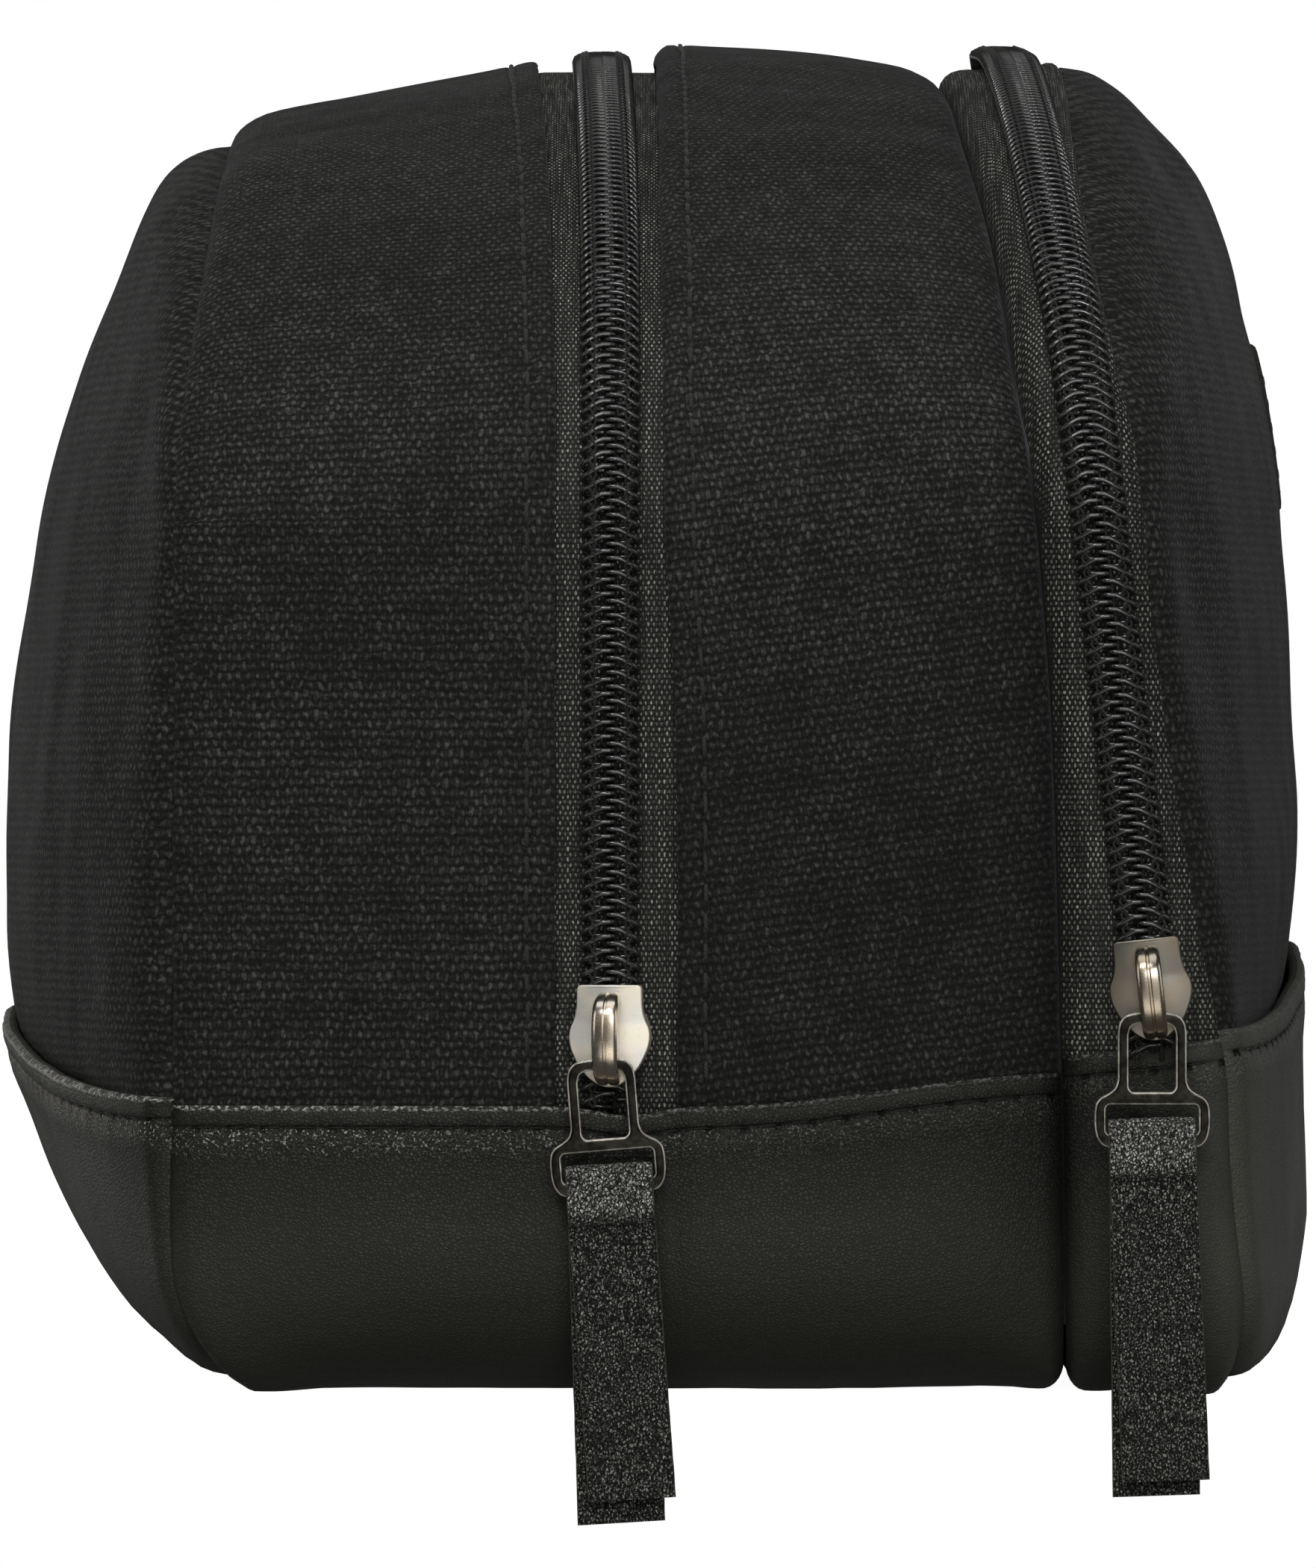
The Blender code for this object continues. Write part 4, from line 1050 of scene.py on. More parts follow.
def side_panel(name, xf, up, low, half, band, side, mat, replaces, soft):
    ys = [v - half for v in rim_offsets(2 * half, FINE, 52)]
    nv = 86
    P = np.zeros((len(ys), nv, 3))
    UV = np.zeros((len(ys), nv, 2))
    for i, y in enumerate(ys):
        z1 = interp(up, abs(y)) - 0.12
        z0 = band(y) - 2.4
        for j in range(nv):
            t = j / (nv - 1)
            v = 1 - (1 - t) ** 1.7 if j else 0
            z = z0 + (z1 - z0) * v
            P[i, j] = (xf(y, max(z, BAND_Z - 1)), y, z)
            UV[i, j] = (y, z)
    N = grid_normals(P)
    if (N[..., 0] * side).sum() < 0:
        N = -N
    D = rim_distance(P, up, low, half, True, False)
    H = roll_height(D) - (0.6 if side < 0 else 0.9) * np.clip((D - 4) / 22, 0, 1)
    for i in range(len(ys)):
        for j in range(nv):
            y, z = P[i, j, 1], P[i, j, 2]
            above = (z - band(y))
            w = wrinkle(P[i, j, 0], y, z, soft) * smooth(above / 14.0) * smooth(D[i, j] / 9.0)
            H[i, j] += w - 1.0 * (1 - smooth((above + 2.4) / 2.6))
    P = P + N * H[..., None]
    O = np.zeros_like(P)
    O[..., 0] = side
    return surface(name, P, UV, mat, "root", O, replaces)


back_panel = side_panel("canvas_back", back_x, REAR_UP, REAR_LOW, REAR_Y, back_band, -1, M_CANVAS,
                        ["canvas_back_panel"], 0.9)
front_panel = side_panel("canvas_front", front_x, FRONT_UP, FRONT_LOW, FRONT_Y, front_band, 1, M_CANVAS,
                         ["canvas_front_panel"], 0.9)

# ---------------------------------------------------------------- leather base
_full_end_top = end_top


def end_top(x):
    return _full_end_top(x) - 0.95 * math.exp(-((x + 3.2) / 4.2) ** 2)


# (distance under the top edge, height over the skin): folded edge, then the stitched groove
TOP = [(3.0, -0.8), (1.2, -0.75), (0.35, -0.62), (0.05, -0.2), (0.0, 0.2), (0.07, 0.52), (0.22, 0.80),
       (0.5, 1.00), (1.0, 1.08), (1.6, 1.07), (2.0, 1.02), (2.2, 0.92), (2.32, 0.68), (2.42, 0.74), (2.62, 0.90),
       (3.0, 0.97), (3.6, 1.06), (4.5, 1.09), (5.6, 1.0), (7.2, 0.88), (9.2, 0.82), (11.5, 0.8)]
STITCH_D = 2.32
LEATHER_PITCH = 3.5


def leather_soft(x, y, z, d):
    """Small folds, strongest just under the stitched edge."""
    a = 0.30 * vnoise(x, y, z, 26.0, 1.7) + 0.12 * vnoise(x, y, z, 9.0, 4.7)
    if d < 16:
        k = math.exp(-d / 6.0)
        a += k * (0.16 * vnoise(x, y, z * 0.6, 4.2, 2.2) + 0.10 * vnoise(x, y, z, 2.1, 6.1))
    return a


def pucker(s):
    """Pull of each stitch on the leather beside it."""
    return 0.5 + 0.5 * math.cos(2 * math.pi * s / LEATHER_PITCH)


def base_strip(name, x_a, x_b, xn, top, mat, replaces, roll_width=2.6):
    xs_frac = []
    wa = [0.12, 0.3, 0.6, 1.0, 1.5, 2.1, 2.8, 3.8]
    for o in wa:
        xs_frac.append(("a", o))
    for k in range(1, xn):
        xs_frac.append(("f", k / xn))
    for o in reversed(wa):
        xs_frac.append(("b", o))

    def xof(tag, L):
        kind, v = tag
        a, b = x_a(L), x_b(L)
        if kind == "a":
            return a + v
        if kind == "b":
            return b - v
        return a + wa[-1] + (b - a - 2 * wa[-1]) * v

    down_f = [k / 9 for k in range(1, 10)]
    corner = [CORNER_L + (FLAT_L - CORNER_L) * k / 12 for k in range(1, 13)]
    bottom = FLAT_L - (HALF_LENGTH - CORNER_R)
    under = [FLAT_L + (bottom - FLAT_L) * k / 16 for k in range(1, 17)]
    rows = [("d", d, h) for d, h in TOP] + [("f", f, 0.8) for f in down_f]
    rows += [("L", L, 0.8) for L in corner + under]
    half = len(rows)
    P = np.zeros((len(xs_frac), 2 * half - 1, 3))
    UV = np.zeros((len(xs_frac), 2 * half - 1, 2))
    d_last = TOP[-1][0]
    for i, tag in enumerate(xs_frac):
        xt = xof(tag, 0.0)
        hi = top(xt) - BAND_Z
        for far in (0, 1):
            for j, (kind, v, h) in enumerate(rows):
                if kind == "d":
                    L = hi - v
                elif kind == "f":
                    L = (hi - d_last) + (CORNER_L - (hi - d_last)) * v
                else:
                    L = v
                d = hi - L
                x = xof(tag, L)
                p, n = path(L)
                ly = -p[0] if far else p[0]
                k = min(x - x_a(L), x_b(L) - x)
                t = min(1.0, max(0.0, k / roll_width))
                S = math.sqrt(max(0.0, 1 - (1 - t) ** 2.3))
                flat = smooth((L - bottom) / (CORNER_L - bottom))
                hh = h + leather_soft(x, ly, p[1], d) * (0.25 + 0.75 * flat) * S
                if kind == "d" and 0.3 < v < 6:
                    hh += 0.17 * (pucker(x) - 0.5) * math.exp(-((v - STITCH_D - 0.5) / 0.9) ** 2)
                hh = -2.4 + (hh + 2.4) * S
                q = place(x, L, hh)
                y = -q[1] if far else q[1]
                jj = 2 * half - 2 - j if far else j
                zz = max(q[2], 0.02 if d > 25 else -9)
                if not far:
                    # past the table's edge the seams hang a little lower
                    sag = smooth((-109.0 - y) / 5.0) * smooth((14.0 - zz) / 12.0)
                    zz -= 1.25 * sag * math.exp(-(max(0.0, k - 1.5) / 6.0) ** 2)
                P[i, jj] = (x, y, zz)
                UV[i, jj] = (x, d if h > 0.0 and d > 0 else -2.0)
    return surface(name, P, UV, mat, "root", out_of(P), replaces)


base_strip("leather_base", x_rear_seam, x_valley, 150, end_top, M_LEATHER, ["leather_base_strip"])
base_strip("leather_pocket", x_valley, x_front_seam, 30, pocket_top, M_LEATHER,
           ["leather_pocket_strip"], 2.2)


def side_band(name, xf, up, low, half, band, side, mat, replaces):
    ys = [v - half for v in rim_offsets(2 * half, FINE, 220)]
    tops = TOP
    low_off = [7.5, 5.5, 4.0, 2.9, 2.1, 1.5, 1.0, 0.6, 0.3, 0.12]
    nmid = 10
    nv = len(tops) + nmid + len(low_off)
    P = np.zeros((len(ys), nv, 3))
    Hh = np.zeros((len(ys), nv))
    UV = np.zeros((len(ys), nv, 2))
    for i, y in enumerate(ys):
        b = band(y)
        z0 = interp(low, abs(y))
        for j in range(nv):
            if j < len(tops):
                d, h = tops[j]
                z = b - d
            elif j < len(tops) + nmid:
                f = (j - len(tops) + 1) / (nmid + 1)
                a = b - tops[-1][0]
                z, h = a + (z0 + low_off[0] - a) * f, 0.8
            else:
                o = low_off[j - len(tops) - nmid]
                z, h = z0 + o, 0.8
            z = max(z, z0 + 0.05)
            P[i, j] = (xf(y, z), y, z)
            Hh[i, j] = h
            UV[i, j] = (y, b - z if h > 0.0 else -2.0)
    N = grid_normals(P)
    # the folded rows double back, so take their normals from the row below the fold
    for j in range(6):
        N[:, j] = N[:, 8]
    if (N[..., 0] * side).sum() < 0:
        N = -N
    for j in range(nv):
        if (N[:, j, 0] * side).sum() < 0:
            N[:, j] *= -1
    D = rim_distance(P, up, low, half, False, True)
    S = np.sqrt(np.maximum(0, 1 - (1 - np.clip(D / 2.5, 0, 1)) ** 2.3))
    for i in range(len(ys)):
        y = ys[i]
        for j in range(nv):
            z = P[i, j, 2]
            d = band(y) - z
            Hh[i, j] += leather_soft(P[i, j, 0], y, z, max(0.0, d)) * 0.9
            if j < len(tops) and 0.3 < tops[j][0] < 6:
                Hh[i, j] += 0.17 * (pucker(y) - 0.5) * math.exp(-((tops[j][0] - STITCH_D - 0.5) / 0.9) ** 2)
            Hh[i, j] = -2.4 + (Hh[i, j] + 2.4) * S[i, j]
    P = P + N * Hh[..., None]
    P[..., 2] = np.maximum(P[..., 2], 0.02)
    O = np.zeros_like(P)
    O[..., 0] = side
    return surface(name, P, UV, mat, "root", O, replaces)


side_band("leather_back", back_x, REAR_UP, REAR_LOW, REAR_Y, back_band, -1, M_LEATHER,
          ["leather_back_band"])
side_band("leather_front", front_x, FRONT_UP, FRONT_LOW, FRONT_Y, front_band, 1, M_LEATHER,
          ["leather_front_band"])

# stitching round the top of the leather
seam_bag = Bag()
for x_a, x_b, top in ((x_rear_seam, x_valley, end_top), (x_valley, x_front_seam, pocket_top)):
    for far in (0, 1):
        pts, nr = [], []
        a, b = x_a(0.0) + 1.6, x_b(0.0) - 1.6
        for k in range(160):
            x = a + (b - a) * k / 159
            L = top(x) - BAND_Z - STITCH_D
            q = place(x, L, 0.62 + leather_soft(x, path(L)[0][0] * (-1 if far else 1), path(L)[0][1], STITCH_D))
            pts.append((x, -q[1] if far else q[1], q[2]))
            nr.append((0, 1 if far else -1, 0))
        stitch_row(seam_bag, pts, nr, LEATHER_PITCH, 2.75, 0.17, proud=0.5, start=0.6, seed=3.0 + far)
for xf, band, half, side in ((back_x, back_band, REAR_Y, -1), (front_x, front_band, FRONT_Y, 1)):
    pts, nr = [], []
    for k in range(500):
        y = (half - 1.6) * (2 * k / 499 - 1)
        z = band(y) - STITCH_D
        e = 0.5
        dx_y = (xf(y + e, z) - xf(y - e, z)) / (2 * e)
        dx_z = (xf(y, z + e) - xf(y, z - e)) / (2 * e)
        n = np.array((1.0, -dx_y, -dx_z)) * side
        n /= np.linalg.norm(n)
        p = np.array((xf(y, z), y, z)) + n * (0.62 + leather_soft(xf(y, z), y, z, STITCH_D) * 0.9)
        pts.append(p)
        nr.append(n)
    stitch_row(seam_bag, pts, nr, LEATHER_PITCH, 2.75, 0.17, proud=0.5, seed=8.0)
seam_bag.make("leather_stitching", M_THREAD, "root")

# ---------------------------------------------------------------- zips
PITCH = 1.5


def rail_tape(name, x_a, x_b, h, low, replaces, ncol=14, lifted=False, h_a=0.0, h_b=0.0):
    nlong = 300
    P = np.zeros((ncol, nlong, 3))
    UV = np.zeros((ncol, nlong, 2))
    for i in range(ncol):
        u = i / (ncol - 1)
        x0 = x_a(0.0) + (x_b(0.0) - x_a(0.0)) * u
        a = low(x0) - BAND_Z - 2.4
        for j in range(nlong):
            L = a + (LONG - 2 * a) * j / (nlong - 1)
            x = x_a(L) + (x_b(L) - x_a(L)) * u
            k = (h(x, L) if callable(h) else h) + h_a * (1 - u) ** 3 + h_b * u ** 3
            k += 0.10 * vnoise(x, L, 0.0, 9.0, 2.0) - 1.0 * (1 - smooth((near(L) - a) / 2.6))
            P[i, j] = place(x, L, k, lifted)
            UV[i, j] = (x, L)
    return surface(name, P, UV, M_TAPE, "root", out_of(P), replaces)


rail_tape("main_tape_rear", lambda L: x_re(L) - 4.5, lambda L: x_me(L) - 0.25,
          lambda x, L: -1.72 + min(0.0, lift(x, L)), end_top, ["main_zip_tape_rear"])
rail_tape("main_tape_mid", lambda L: x_me(L) + 0.25, lambda L: x_mi(L) + 4.5, -1.72, end_top,
          ["main_zip_tape_mid"])

# pocket tapes run from the seams to the chain and roll into the seams
pr_cols, pf_cols = [], []
PROLL = [(0.10, -2.2), (0.2, -1.4), (0.5, -0.6), (1.0, -0.15), (1.7, 0.06), (2.6, 0.10), (3.6, 0.05)]
for off, h in PROLL:
    pr_cols.append(lambda L, off=off, h=h: (x_valley(L) + off, h))
for k in range(1, 13):
    pr_cols.append(lambda L, f=k / 12: (x_valley(L) + 3.6 + (x_pocket(L) - 0.25 - x_valley(L) - 3.6) * f, 0.0))
for k in range(0, 12):
    pf_cols.append(lambda L, f=k / 12: (x_pocket(L) + 0.25
                                        + (x_front_seam(L) - 1.7 - x_pocket(L) - 0.25) * f, 0.0))
for off, h in reversed(PROLL[:5]):
    pf_cols.append(lambda L, off=off, h=h: (x_front_seam(L) - off, h))
loop_strip("pocket_tape_rear", pr_cols, pocket_top, M_TAPE, ["pocket_zip_tape_rear"], soft=0.22)
loop_strip("pocket_tape_front", pf_cols, pocket_top, M_TAPE, ["pocket_zip_tape_front"], soft=0.22)

# one turn of a coil: distance from the chain's centre, height under the top, travel in a pitch
TURN = [(-0.42, -0.42, 0.00), (-0.30, -0.10, 0.00), (0.05, 0.00, 0.00), (0.80, 0.00, 0.02),
        (1.30, -0.03, 0.22), (1.85, -0.10, 0.52), (2.40, -0.22, 0.82), (2.82, -0.46, 1.05),
        (3.00, -0.85, 1.18), (2.84, -1.35, 1.26), (2.35, -1.72, 1.32), (1.20, -1.82, 1.40),
        (0.20, -1.80, 1.46), (-0.30, -1.45, 1.49), (-0.46, -0.90, 1.50)]


def coil(name, rail, side, top, L0, L1, phase, replaces):
    count = int((L1 - L0) / PITCH)
    pts, nr = [], []
    for k in range(count):
        base = L0 + (k + phase) * PITCH
        for a, h, t in TURN:
            L = base - t + PITCH
            pts.append(place(rail(L) + side * a, L, top - 0.28 + h, False))
    V, F = tube_arrays(pts, 0.285, 6)
    return mesh_object(name, V, F, M_COIL, "root", replaces)


def chain_thread(bag, rail, side, top, L0, L1, offset):
    n = int((L1 - L0) / PITCH * 8)
    pts = []
    for k in range(n):
        L = L0 + k * PITCH / 8
        ph = 2 * math.pi * (L / PITCH + offset)
        a = 1.72 + 0.17 * math.sin(ph)
        pts.append(place(rail(L) + side * a, L, top - 0.22 + 0.16 * math.cos(ph), False))
    V, F = tube_arrays(pts, 0.13, 4)
    bag.add(V, F)
    pts = []
    for k in range(n):
        L = L0 + k * PITCH / 8
        ph = 2 * math.pi * (L / PITCH + offset + 0.5)
        a = 2.05 + 0.17 * math.sin(ph)
        pts.append(place(rail(L) + side * a, L, top - 0.30 + 0.14 * math.cos(ph), False))
    V, F = tube_arrays(pts, 0.12, 4)
    bag.add(V, F)


threads = Bag()
for tag, rail, top, low, ends in (("main", x_me, 0.62, 31.5, ("rear", "mid")),
                                  ("pocket", x_pocket, 1.22, 36.6, ("rear", "front"))):
    L0 = low - BAND_Z - 1.5
    L1 = LONG - L0
    for side, end, phase in ((-1, ends[0], 0.0), (1, ends[1], 0.5)):
        coil(f"{tag}_coil_{end}", rail, side, top, L0, L1 - 2, phase, [f"{tag}_zip_coil_{end}"])
        chain_thread(threads, rail, side, top, L0, L1 - 2, phase)
threads.make("chain_threads", M_CHAIN, "root")


# ---------------------------------------------------------------- sliders and pulls
def upright(x, y, z, lean=0.0, yaw=0.0):
    return (Matrix.Translation(Vector((x, y, z)) * MM)
            @ Matrix.Rotation(-lean, 4, "Y") @ Matrix.Rotation(math.pi / 2, 4, "X")
            @ Matrix.Rotation(yaw, 4, "Y"))


def rounded(points, per=5, radius=0.6):
    """Polygon corners rounded with short arcs."""
    out = []
    n = len(points)
    for i in range(n):
        a, b, c = (np.array(points[k % n], float) for k in (i - 1, i, i + 1))
        u, v = a - b, c - b
        lu, lv = np.linalg.norm(u), np.linalg.norm(v)
        r = min(radius, lu * 0.45, lv * 0.45)
        p, q = b + u / lu * r, b + v / lv * r
        for k in range(per + 1):
            t = k / per
            out.append(tuple((1 - t) ** 2 * p + 2 * t * (1 - t) * b + t * t * q))
    return out


def plate_arrays(outlines, half, bevel, res=2):
    cu = bpy.data.curves.new("plate_tmp", "CURVE")
    cu.dimensions = "2D"
    cu.fill_mode = "BOTH"
    cu.extrude = (half - bevel) * MM
    cu.bevel_depth = bevel * MM
    cu.bevel_resolution = res
    cu.offset = -bevel * MM
    for pts in outlines:
        sp = cu.splines.new("POLY")
        sp.points.add(len(pts) - 1)
        for k, (a, b) in enumerate(pts):
            sp.points[k].co = (a * MM, b * MM, 0, 1)
        sp.use_cyclic_u = True
    ob = bpy.data.objects.new("plate_tmp", cu)
    COLLECTION.objects.link(ob)
    bpy.context.view_layer.update()
    me = bpy.data.meshes.new_from_object(ob.evaluated_get(bpy.context.evaluated_depsgraph_get()))
    bpy.data.objects.remove(ob, do_unlink=True)
    V = np.array([v.co for v in me.vertices]) / MM
    F = [tuple(p.vertices) for p in me.polygons]
    bpy.data.meshes.remove(me)
    return V, F


def moved(V, matrix):
    V4 = np.concatenate([np.asarray(V) * MM, np.ones((len(V), 1))], 1)
    return (V4 @ np.array(matrix).T)[:, :3] / MM


def weld(ob, angle=32):
    import bmesh
    bm = bmesh.new()
    bm.from_mesh(ob.data)
    bmesh.ops.remove_doubles(bm, verts=bm.verts[:], dist=0.000004)
    bmesh.ops.recalc_face_normals(bm, faces=bm.faces[:])
    bm.to_mesh(ob.data)
    bm.free()
    ob.data.shade_smooth()
    ob.data.set_sharp_from_angle(angle=math.radians(angle))
    return ob


def outline(half):
    left = [(-a, b) for a, b in half if abs(a) > 1e-9]
    return half + list(reversed(left))


SHIELD = [(0, 10.9), (3.45, 10.9), (3.5, 8.6), (3.72, 7.4), (4.25, 6.3), (4.35, 5.3), (4.1, 4.1), (3.3, 2.4),
          (2.2, 1.1), (1.1, 0.35), (0, 0.1)]
LINK_OUT = [(0, 0.62), (1.7, 0.60), (2.75, 0.35), (3.4, -0.35), (3.6, -1.4), (3.6, -6.6), (3.9, -7.4),
            (4.6, -7.9), (5.4, -8.3), (5.9, -8.9), (6.05, -9.8), (6.05, -11.4), (5.8, -12.6),
            (5.2, -13.35), (4.6, -13.55), (0, -13.55)]
LINK_WINDOW = [(0, -0.52), (1.5, -0.52), (2.25, -0.85), (2.5, -1.7), (2.5, -7.3), (2.15, -7.75), (0, -7.75)]
LINK_LOOP = [(0, -9.05), (4.6, -9.05), (4.9, -9.4), (4.9, -11.9), (4.55, -12.25), (0, -12.25)]
BAR = 12.9


def slider(prefix, xc, zc, plate_y, under_y, lean, yaw, foot):
    bag = Bag()
    M = upright(xc, plate_y - 0.5, zc, lean, yaw)
    V, F = plate_arrays([rounded(outline(SHIELD), 3, 0.5)], 0.5, 0.16)
    # the plate is pressed with its shoulders bent slightly towards the chain
    V[:, 2] -= 0.028 * V[:, 0] ** 2 * np.clip((V[:, 1] - 1.0) / 6, 0, 1)
    bag.add(moved(V, M), F)
    drop = under_y - plate_y
    lower = rounded([(-3.2, 0.9), (3.2, 0.9), (3.4, 6.0), (3.1, 10.2), (-3.1, 10.2), (-3.4, 6.0)], 3, 0.8)
    V, F = plate_arrays([lower], 0.4, 0.15)
    V[:, 2] -= 0.5 + drop + 0.4
    bag.add(moved(V, M), F)
    V, F = plate_arrays([rounded([(-0.7, 1.3), (0.7, 1.3), (0.35, 4.0), (-0.35, 4.0)], 3, 0.2)],
                        (drop + 0.9) / 2, 0.08)
    V[:, 2] -= 0.5 + drop / 2
    bag.add(moved(V, M), F)
    for s in (-1, 1):
        lip = [(3.55, 8.0), (4.05, 6.6), (4.25, 5.4), (4.0, 4.2), (3.3, 2.8), (2.95, 3.0), (3.45, 4.4), (3.6, 5.4),
               (3.45, 6.4), (3.1, 7.6)]
        lip = [(s * a, b) for a, b in lip]
        if s < 0:
            lip.reverse()
        V, F = plate_arrays([rounded(lip, 2, 0.2)], foot / 2, 0.12)
        V[:, 2] -= 0.3 + foot / 2
        bag.add(moved(V, M), F)
    ob = bag.make(prefix + "_slider_plate", M_PLATE[prefix], prefix + "_slider",
                  [prefix + "_slider_body"])
    weld(ob, 38)
    # the bridge that holds the pull, pressed with a groove down its middle
    prof = catmull([(0.0, 9.75), (1.2, 9.5), (2.3, 8.95), (3.05, 7.9), (3.35, 6.4), (3.35, 4.6), (3.05, 2.9),
                    (2.35, 1.6), (1.3, 0.95), (0.0, 0.75)], 5)
    width = [1.35] * len(prof)
    cross = [(-1.0, -0.42), (-1.0, 0.12), (-0.86, 0.34), (-0.62, 0.42), (-0.16, 0.42), (-0.06, 0.30), (0.06, 0.30),
             (0.16, 0.42), (0.62, 0.42), (0.86, 0.34), (1.0, 0.12), (1.0, -0.42)]
    tan = np.gradient(prof, axis=0)
    tan /= np.linalg.norm(tan, axis=1, keepdims=True)
    nor = np.stack([-tan[:, 1], tan[:, 0]], 1)
    mid = np.array((1.0, 5.2))
    if ((prof - mid) * nor).sum() < 0:
        nor = -nor
    V = []
    for k, (h, y) in enumerate(prof):
        t = k / (len(prof) - 1)
        w = 1.36 * (0.80 + 0.20 * math.sin(math.pi * t) ** 0.5)
        for cx, cn in cross:
            V.append((cx * w, y + nor[k, 1] * cn, h + nor[k, 0] * cn))
    nc = len(cross)
    F = []
    for k in range(len(prof) - 1):
        for c in range(nc):
            c2 = (c + 1) % nc
            F.append((k * nc + c, (k + 1) * nc + c, (k + 1) * nc + c2, k * nc + c2))
    F += [tuple(range(nc)), tuple(reversed(range((len(prof) - 1) * nc, len(prof) * nc)))]
    MC = upright(xc, plate_y - 1.0, zc, lean, yaw)
    bag = Bag()
    bag.add(moved(np.array(V), MC), F)
    ob = bag.make(prefix + "_crown", M_CROWN[prefix], prefix + "_slider", [prefix + "_slider_crown"])
    weld(ob, 40)


def link(prefix, x, y, z, lean):
    V, F = plate_arrays([rounded(outline(LINK_OUT), 4, 0.7), rounded(outline(LINK_WINDOW), 4, 0.35),
                         rounded(outline(LINK_LOOP), 4, 0.5)], 0.65, 0.26, 3)
    bag = Bag()
    bag.add(moved(V, upright(x, y, z, lean)), F)
    ob = bag.make(prefix + "_link", M_LINK, prefix + "_pull", [prefix + "_pull_link"])
    weld(ob, 50)


def tab(prefix, x, y, z, lean, front_lean, rear_lean, front_len, rear_len, seed):
    """Strap folded over the link's bar: rear layer up, over the bar, front layer down."""
    M = upright(x, y, z, lean)
    half_w, half_t = 4.6, 0.55
    line = [(-0.78, -rear_len)]
    for k in range(1, 14):
        line.append((-0.78 + 0.10 * math.sin(k * 0.9 + seed) * (1 - k / 14), -rear_len + (rear_len - 5.2) * k / 14))
    line += [(-0.62, -5.2), (-0.66, -3.9), (-1.05, -2.6), (-1.45, -1.3), (-1.62, 0.1), (-1.40, 1.10), (-0.80, 1.72),
             (0.0, 1.95), (0.62, 1.78), (1.02, 1.30), (1.25, 0.55), (1.42, -0.5), (1.60, -1.6), (1.70, -2.4),
             (1.48, -3.1), (0.92, -3.65), (0.70, -4.2), (0.62, -5.2)]
    for k in range(13, 0, -1):
        line.append((0.78 + 0.12 * math.sin(k * 0.8 + seed * 2) * (1 - k / 14),
                     -front_len + (front_len - 5.2) * k / 14))
    line.append((0.80, -front_len))
    c = catmull(line, 5)
    tan = np.gradient(c, axis=0)
    tan /= np.linalg.norm(tan, axis=1, keepdims=True)
    nor = np.stack([tan[:, 1], -tan[:, 0]], 1)
    top = int(np.argmax(c[:, 1]))
    if nor[top, 1] < 0:
        nor = -nor
    # cross-section: outer face, right edge, inner face, left edge
    us = lin(-1, 1, 14)
    cross, tagm = [], []
    for u in us:
        cross.append((u * (half_w - 0.10), half_t - 0.10 * abs(u) ** 8))
        tagm.append(0)
    for v in (0.33, -0.33):
        cross.append((half_w, half_t * v * 1.6))
        tagm.append(1)
    for u in reversed(us):
        cross.append((u * (half_w - 0.10), -half_t + 0.10 * abs(u) ** 8))
        tagm.append(0)
    for v in (-0.33, 0.33):
        cross.append((-half_w, half_t * v * 1.6))
        tagm.append(1)
    nc = len(cross)
    V, mats, F, UV = [], [], [], []
    for k in range(len(c)):
        zz, yy = c[k]
        front = k > top
        d = max(0.0, -yy - 3.0)
        shift = math.tan((front_lean if front else rear_lean) - lean) * d
        for a, b in cross:
            rim = 0.05 * noise.noise(Vector((yy / 1.9, a, seed)))
            b2 = b + 0.05 * noise.noise(Vector((yy / 3.0, a / 2.4, seed + 3.0 * front)))
            # the stitch pulls the two layers together
            pull = 0.20 * math.exp(-((yy + 3.75) / 0.55) ** 2) * (1 if abs(a) < 4.4 else 0.3)
            sgn = 1 if b > 0 else 0
            V.append((a + shift + (rim if abs(a) > 4.4 else 0), yy + nor[k, 1] * b2 - nor[k, 1] * pull * sgn,
                      zz + nor[k, 0] * b2 - nor[k, 0] * pull * sgn))
            UV.append((a, yy if front else -20.0))
    for k in range(len(c) - 1):
        for i in range(nc):
            j = (i + 1) % nc
            F.append((k * nc + i, k * nc + j, (k + 1) * nc + j, (k + 1) * nc + i))
            mats.append(1 if (tagm[i] or tagm[j]) else 0)
    F += [tuple(reversed(range(nc))), tuple(range((len(c) - 1) * nc, len(c) * nc))]
    mats += [1, 1]
    V = moved(np.array(V), M)
    ob = mesh_object(prefix + "_tab_strap", V, F, [M_PEBBLE, M_EDGE], prefix + "_tab",
                     [prefix + "_pull_tab"], uvs=UV, mats=mats)
    weld(ob, 55)
    # stitch across both layers, front and back
    bag = Bag()
    for face, zz in ((1, 1.12), (-1, -1.12)):
        pts = [(a, -3.75 + 0.10 * math.sin(a * 1.3 + seed), zz) for a in lin(-4.1, 4.1, 40)]
        nr = [(0, 0, face)] * len(pts)
        R = np.array(M)[:3, :3]
        stitch_row(bag, moved(np.array(pts), M), np.array(nr) @ R.T, 2.05, 1.85, 0.21, proud=0.3, seed=seed)
    bag.make(prefix + "_tab_stitches", M_THREAD, prefix + "_tab")


def down(x, z, lean, d):
    return x + math.sin(lean) * d, z - math.cos(lean) * d


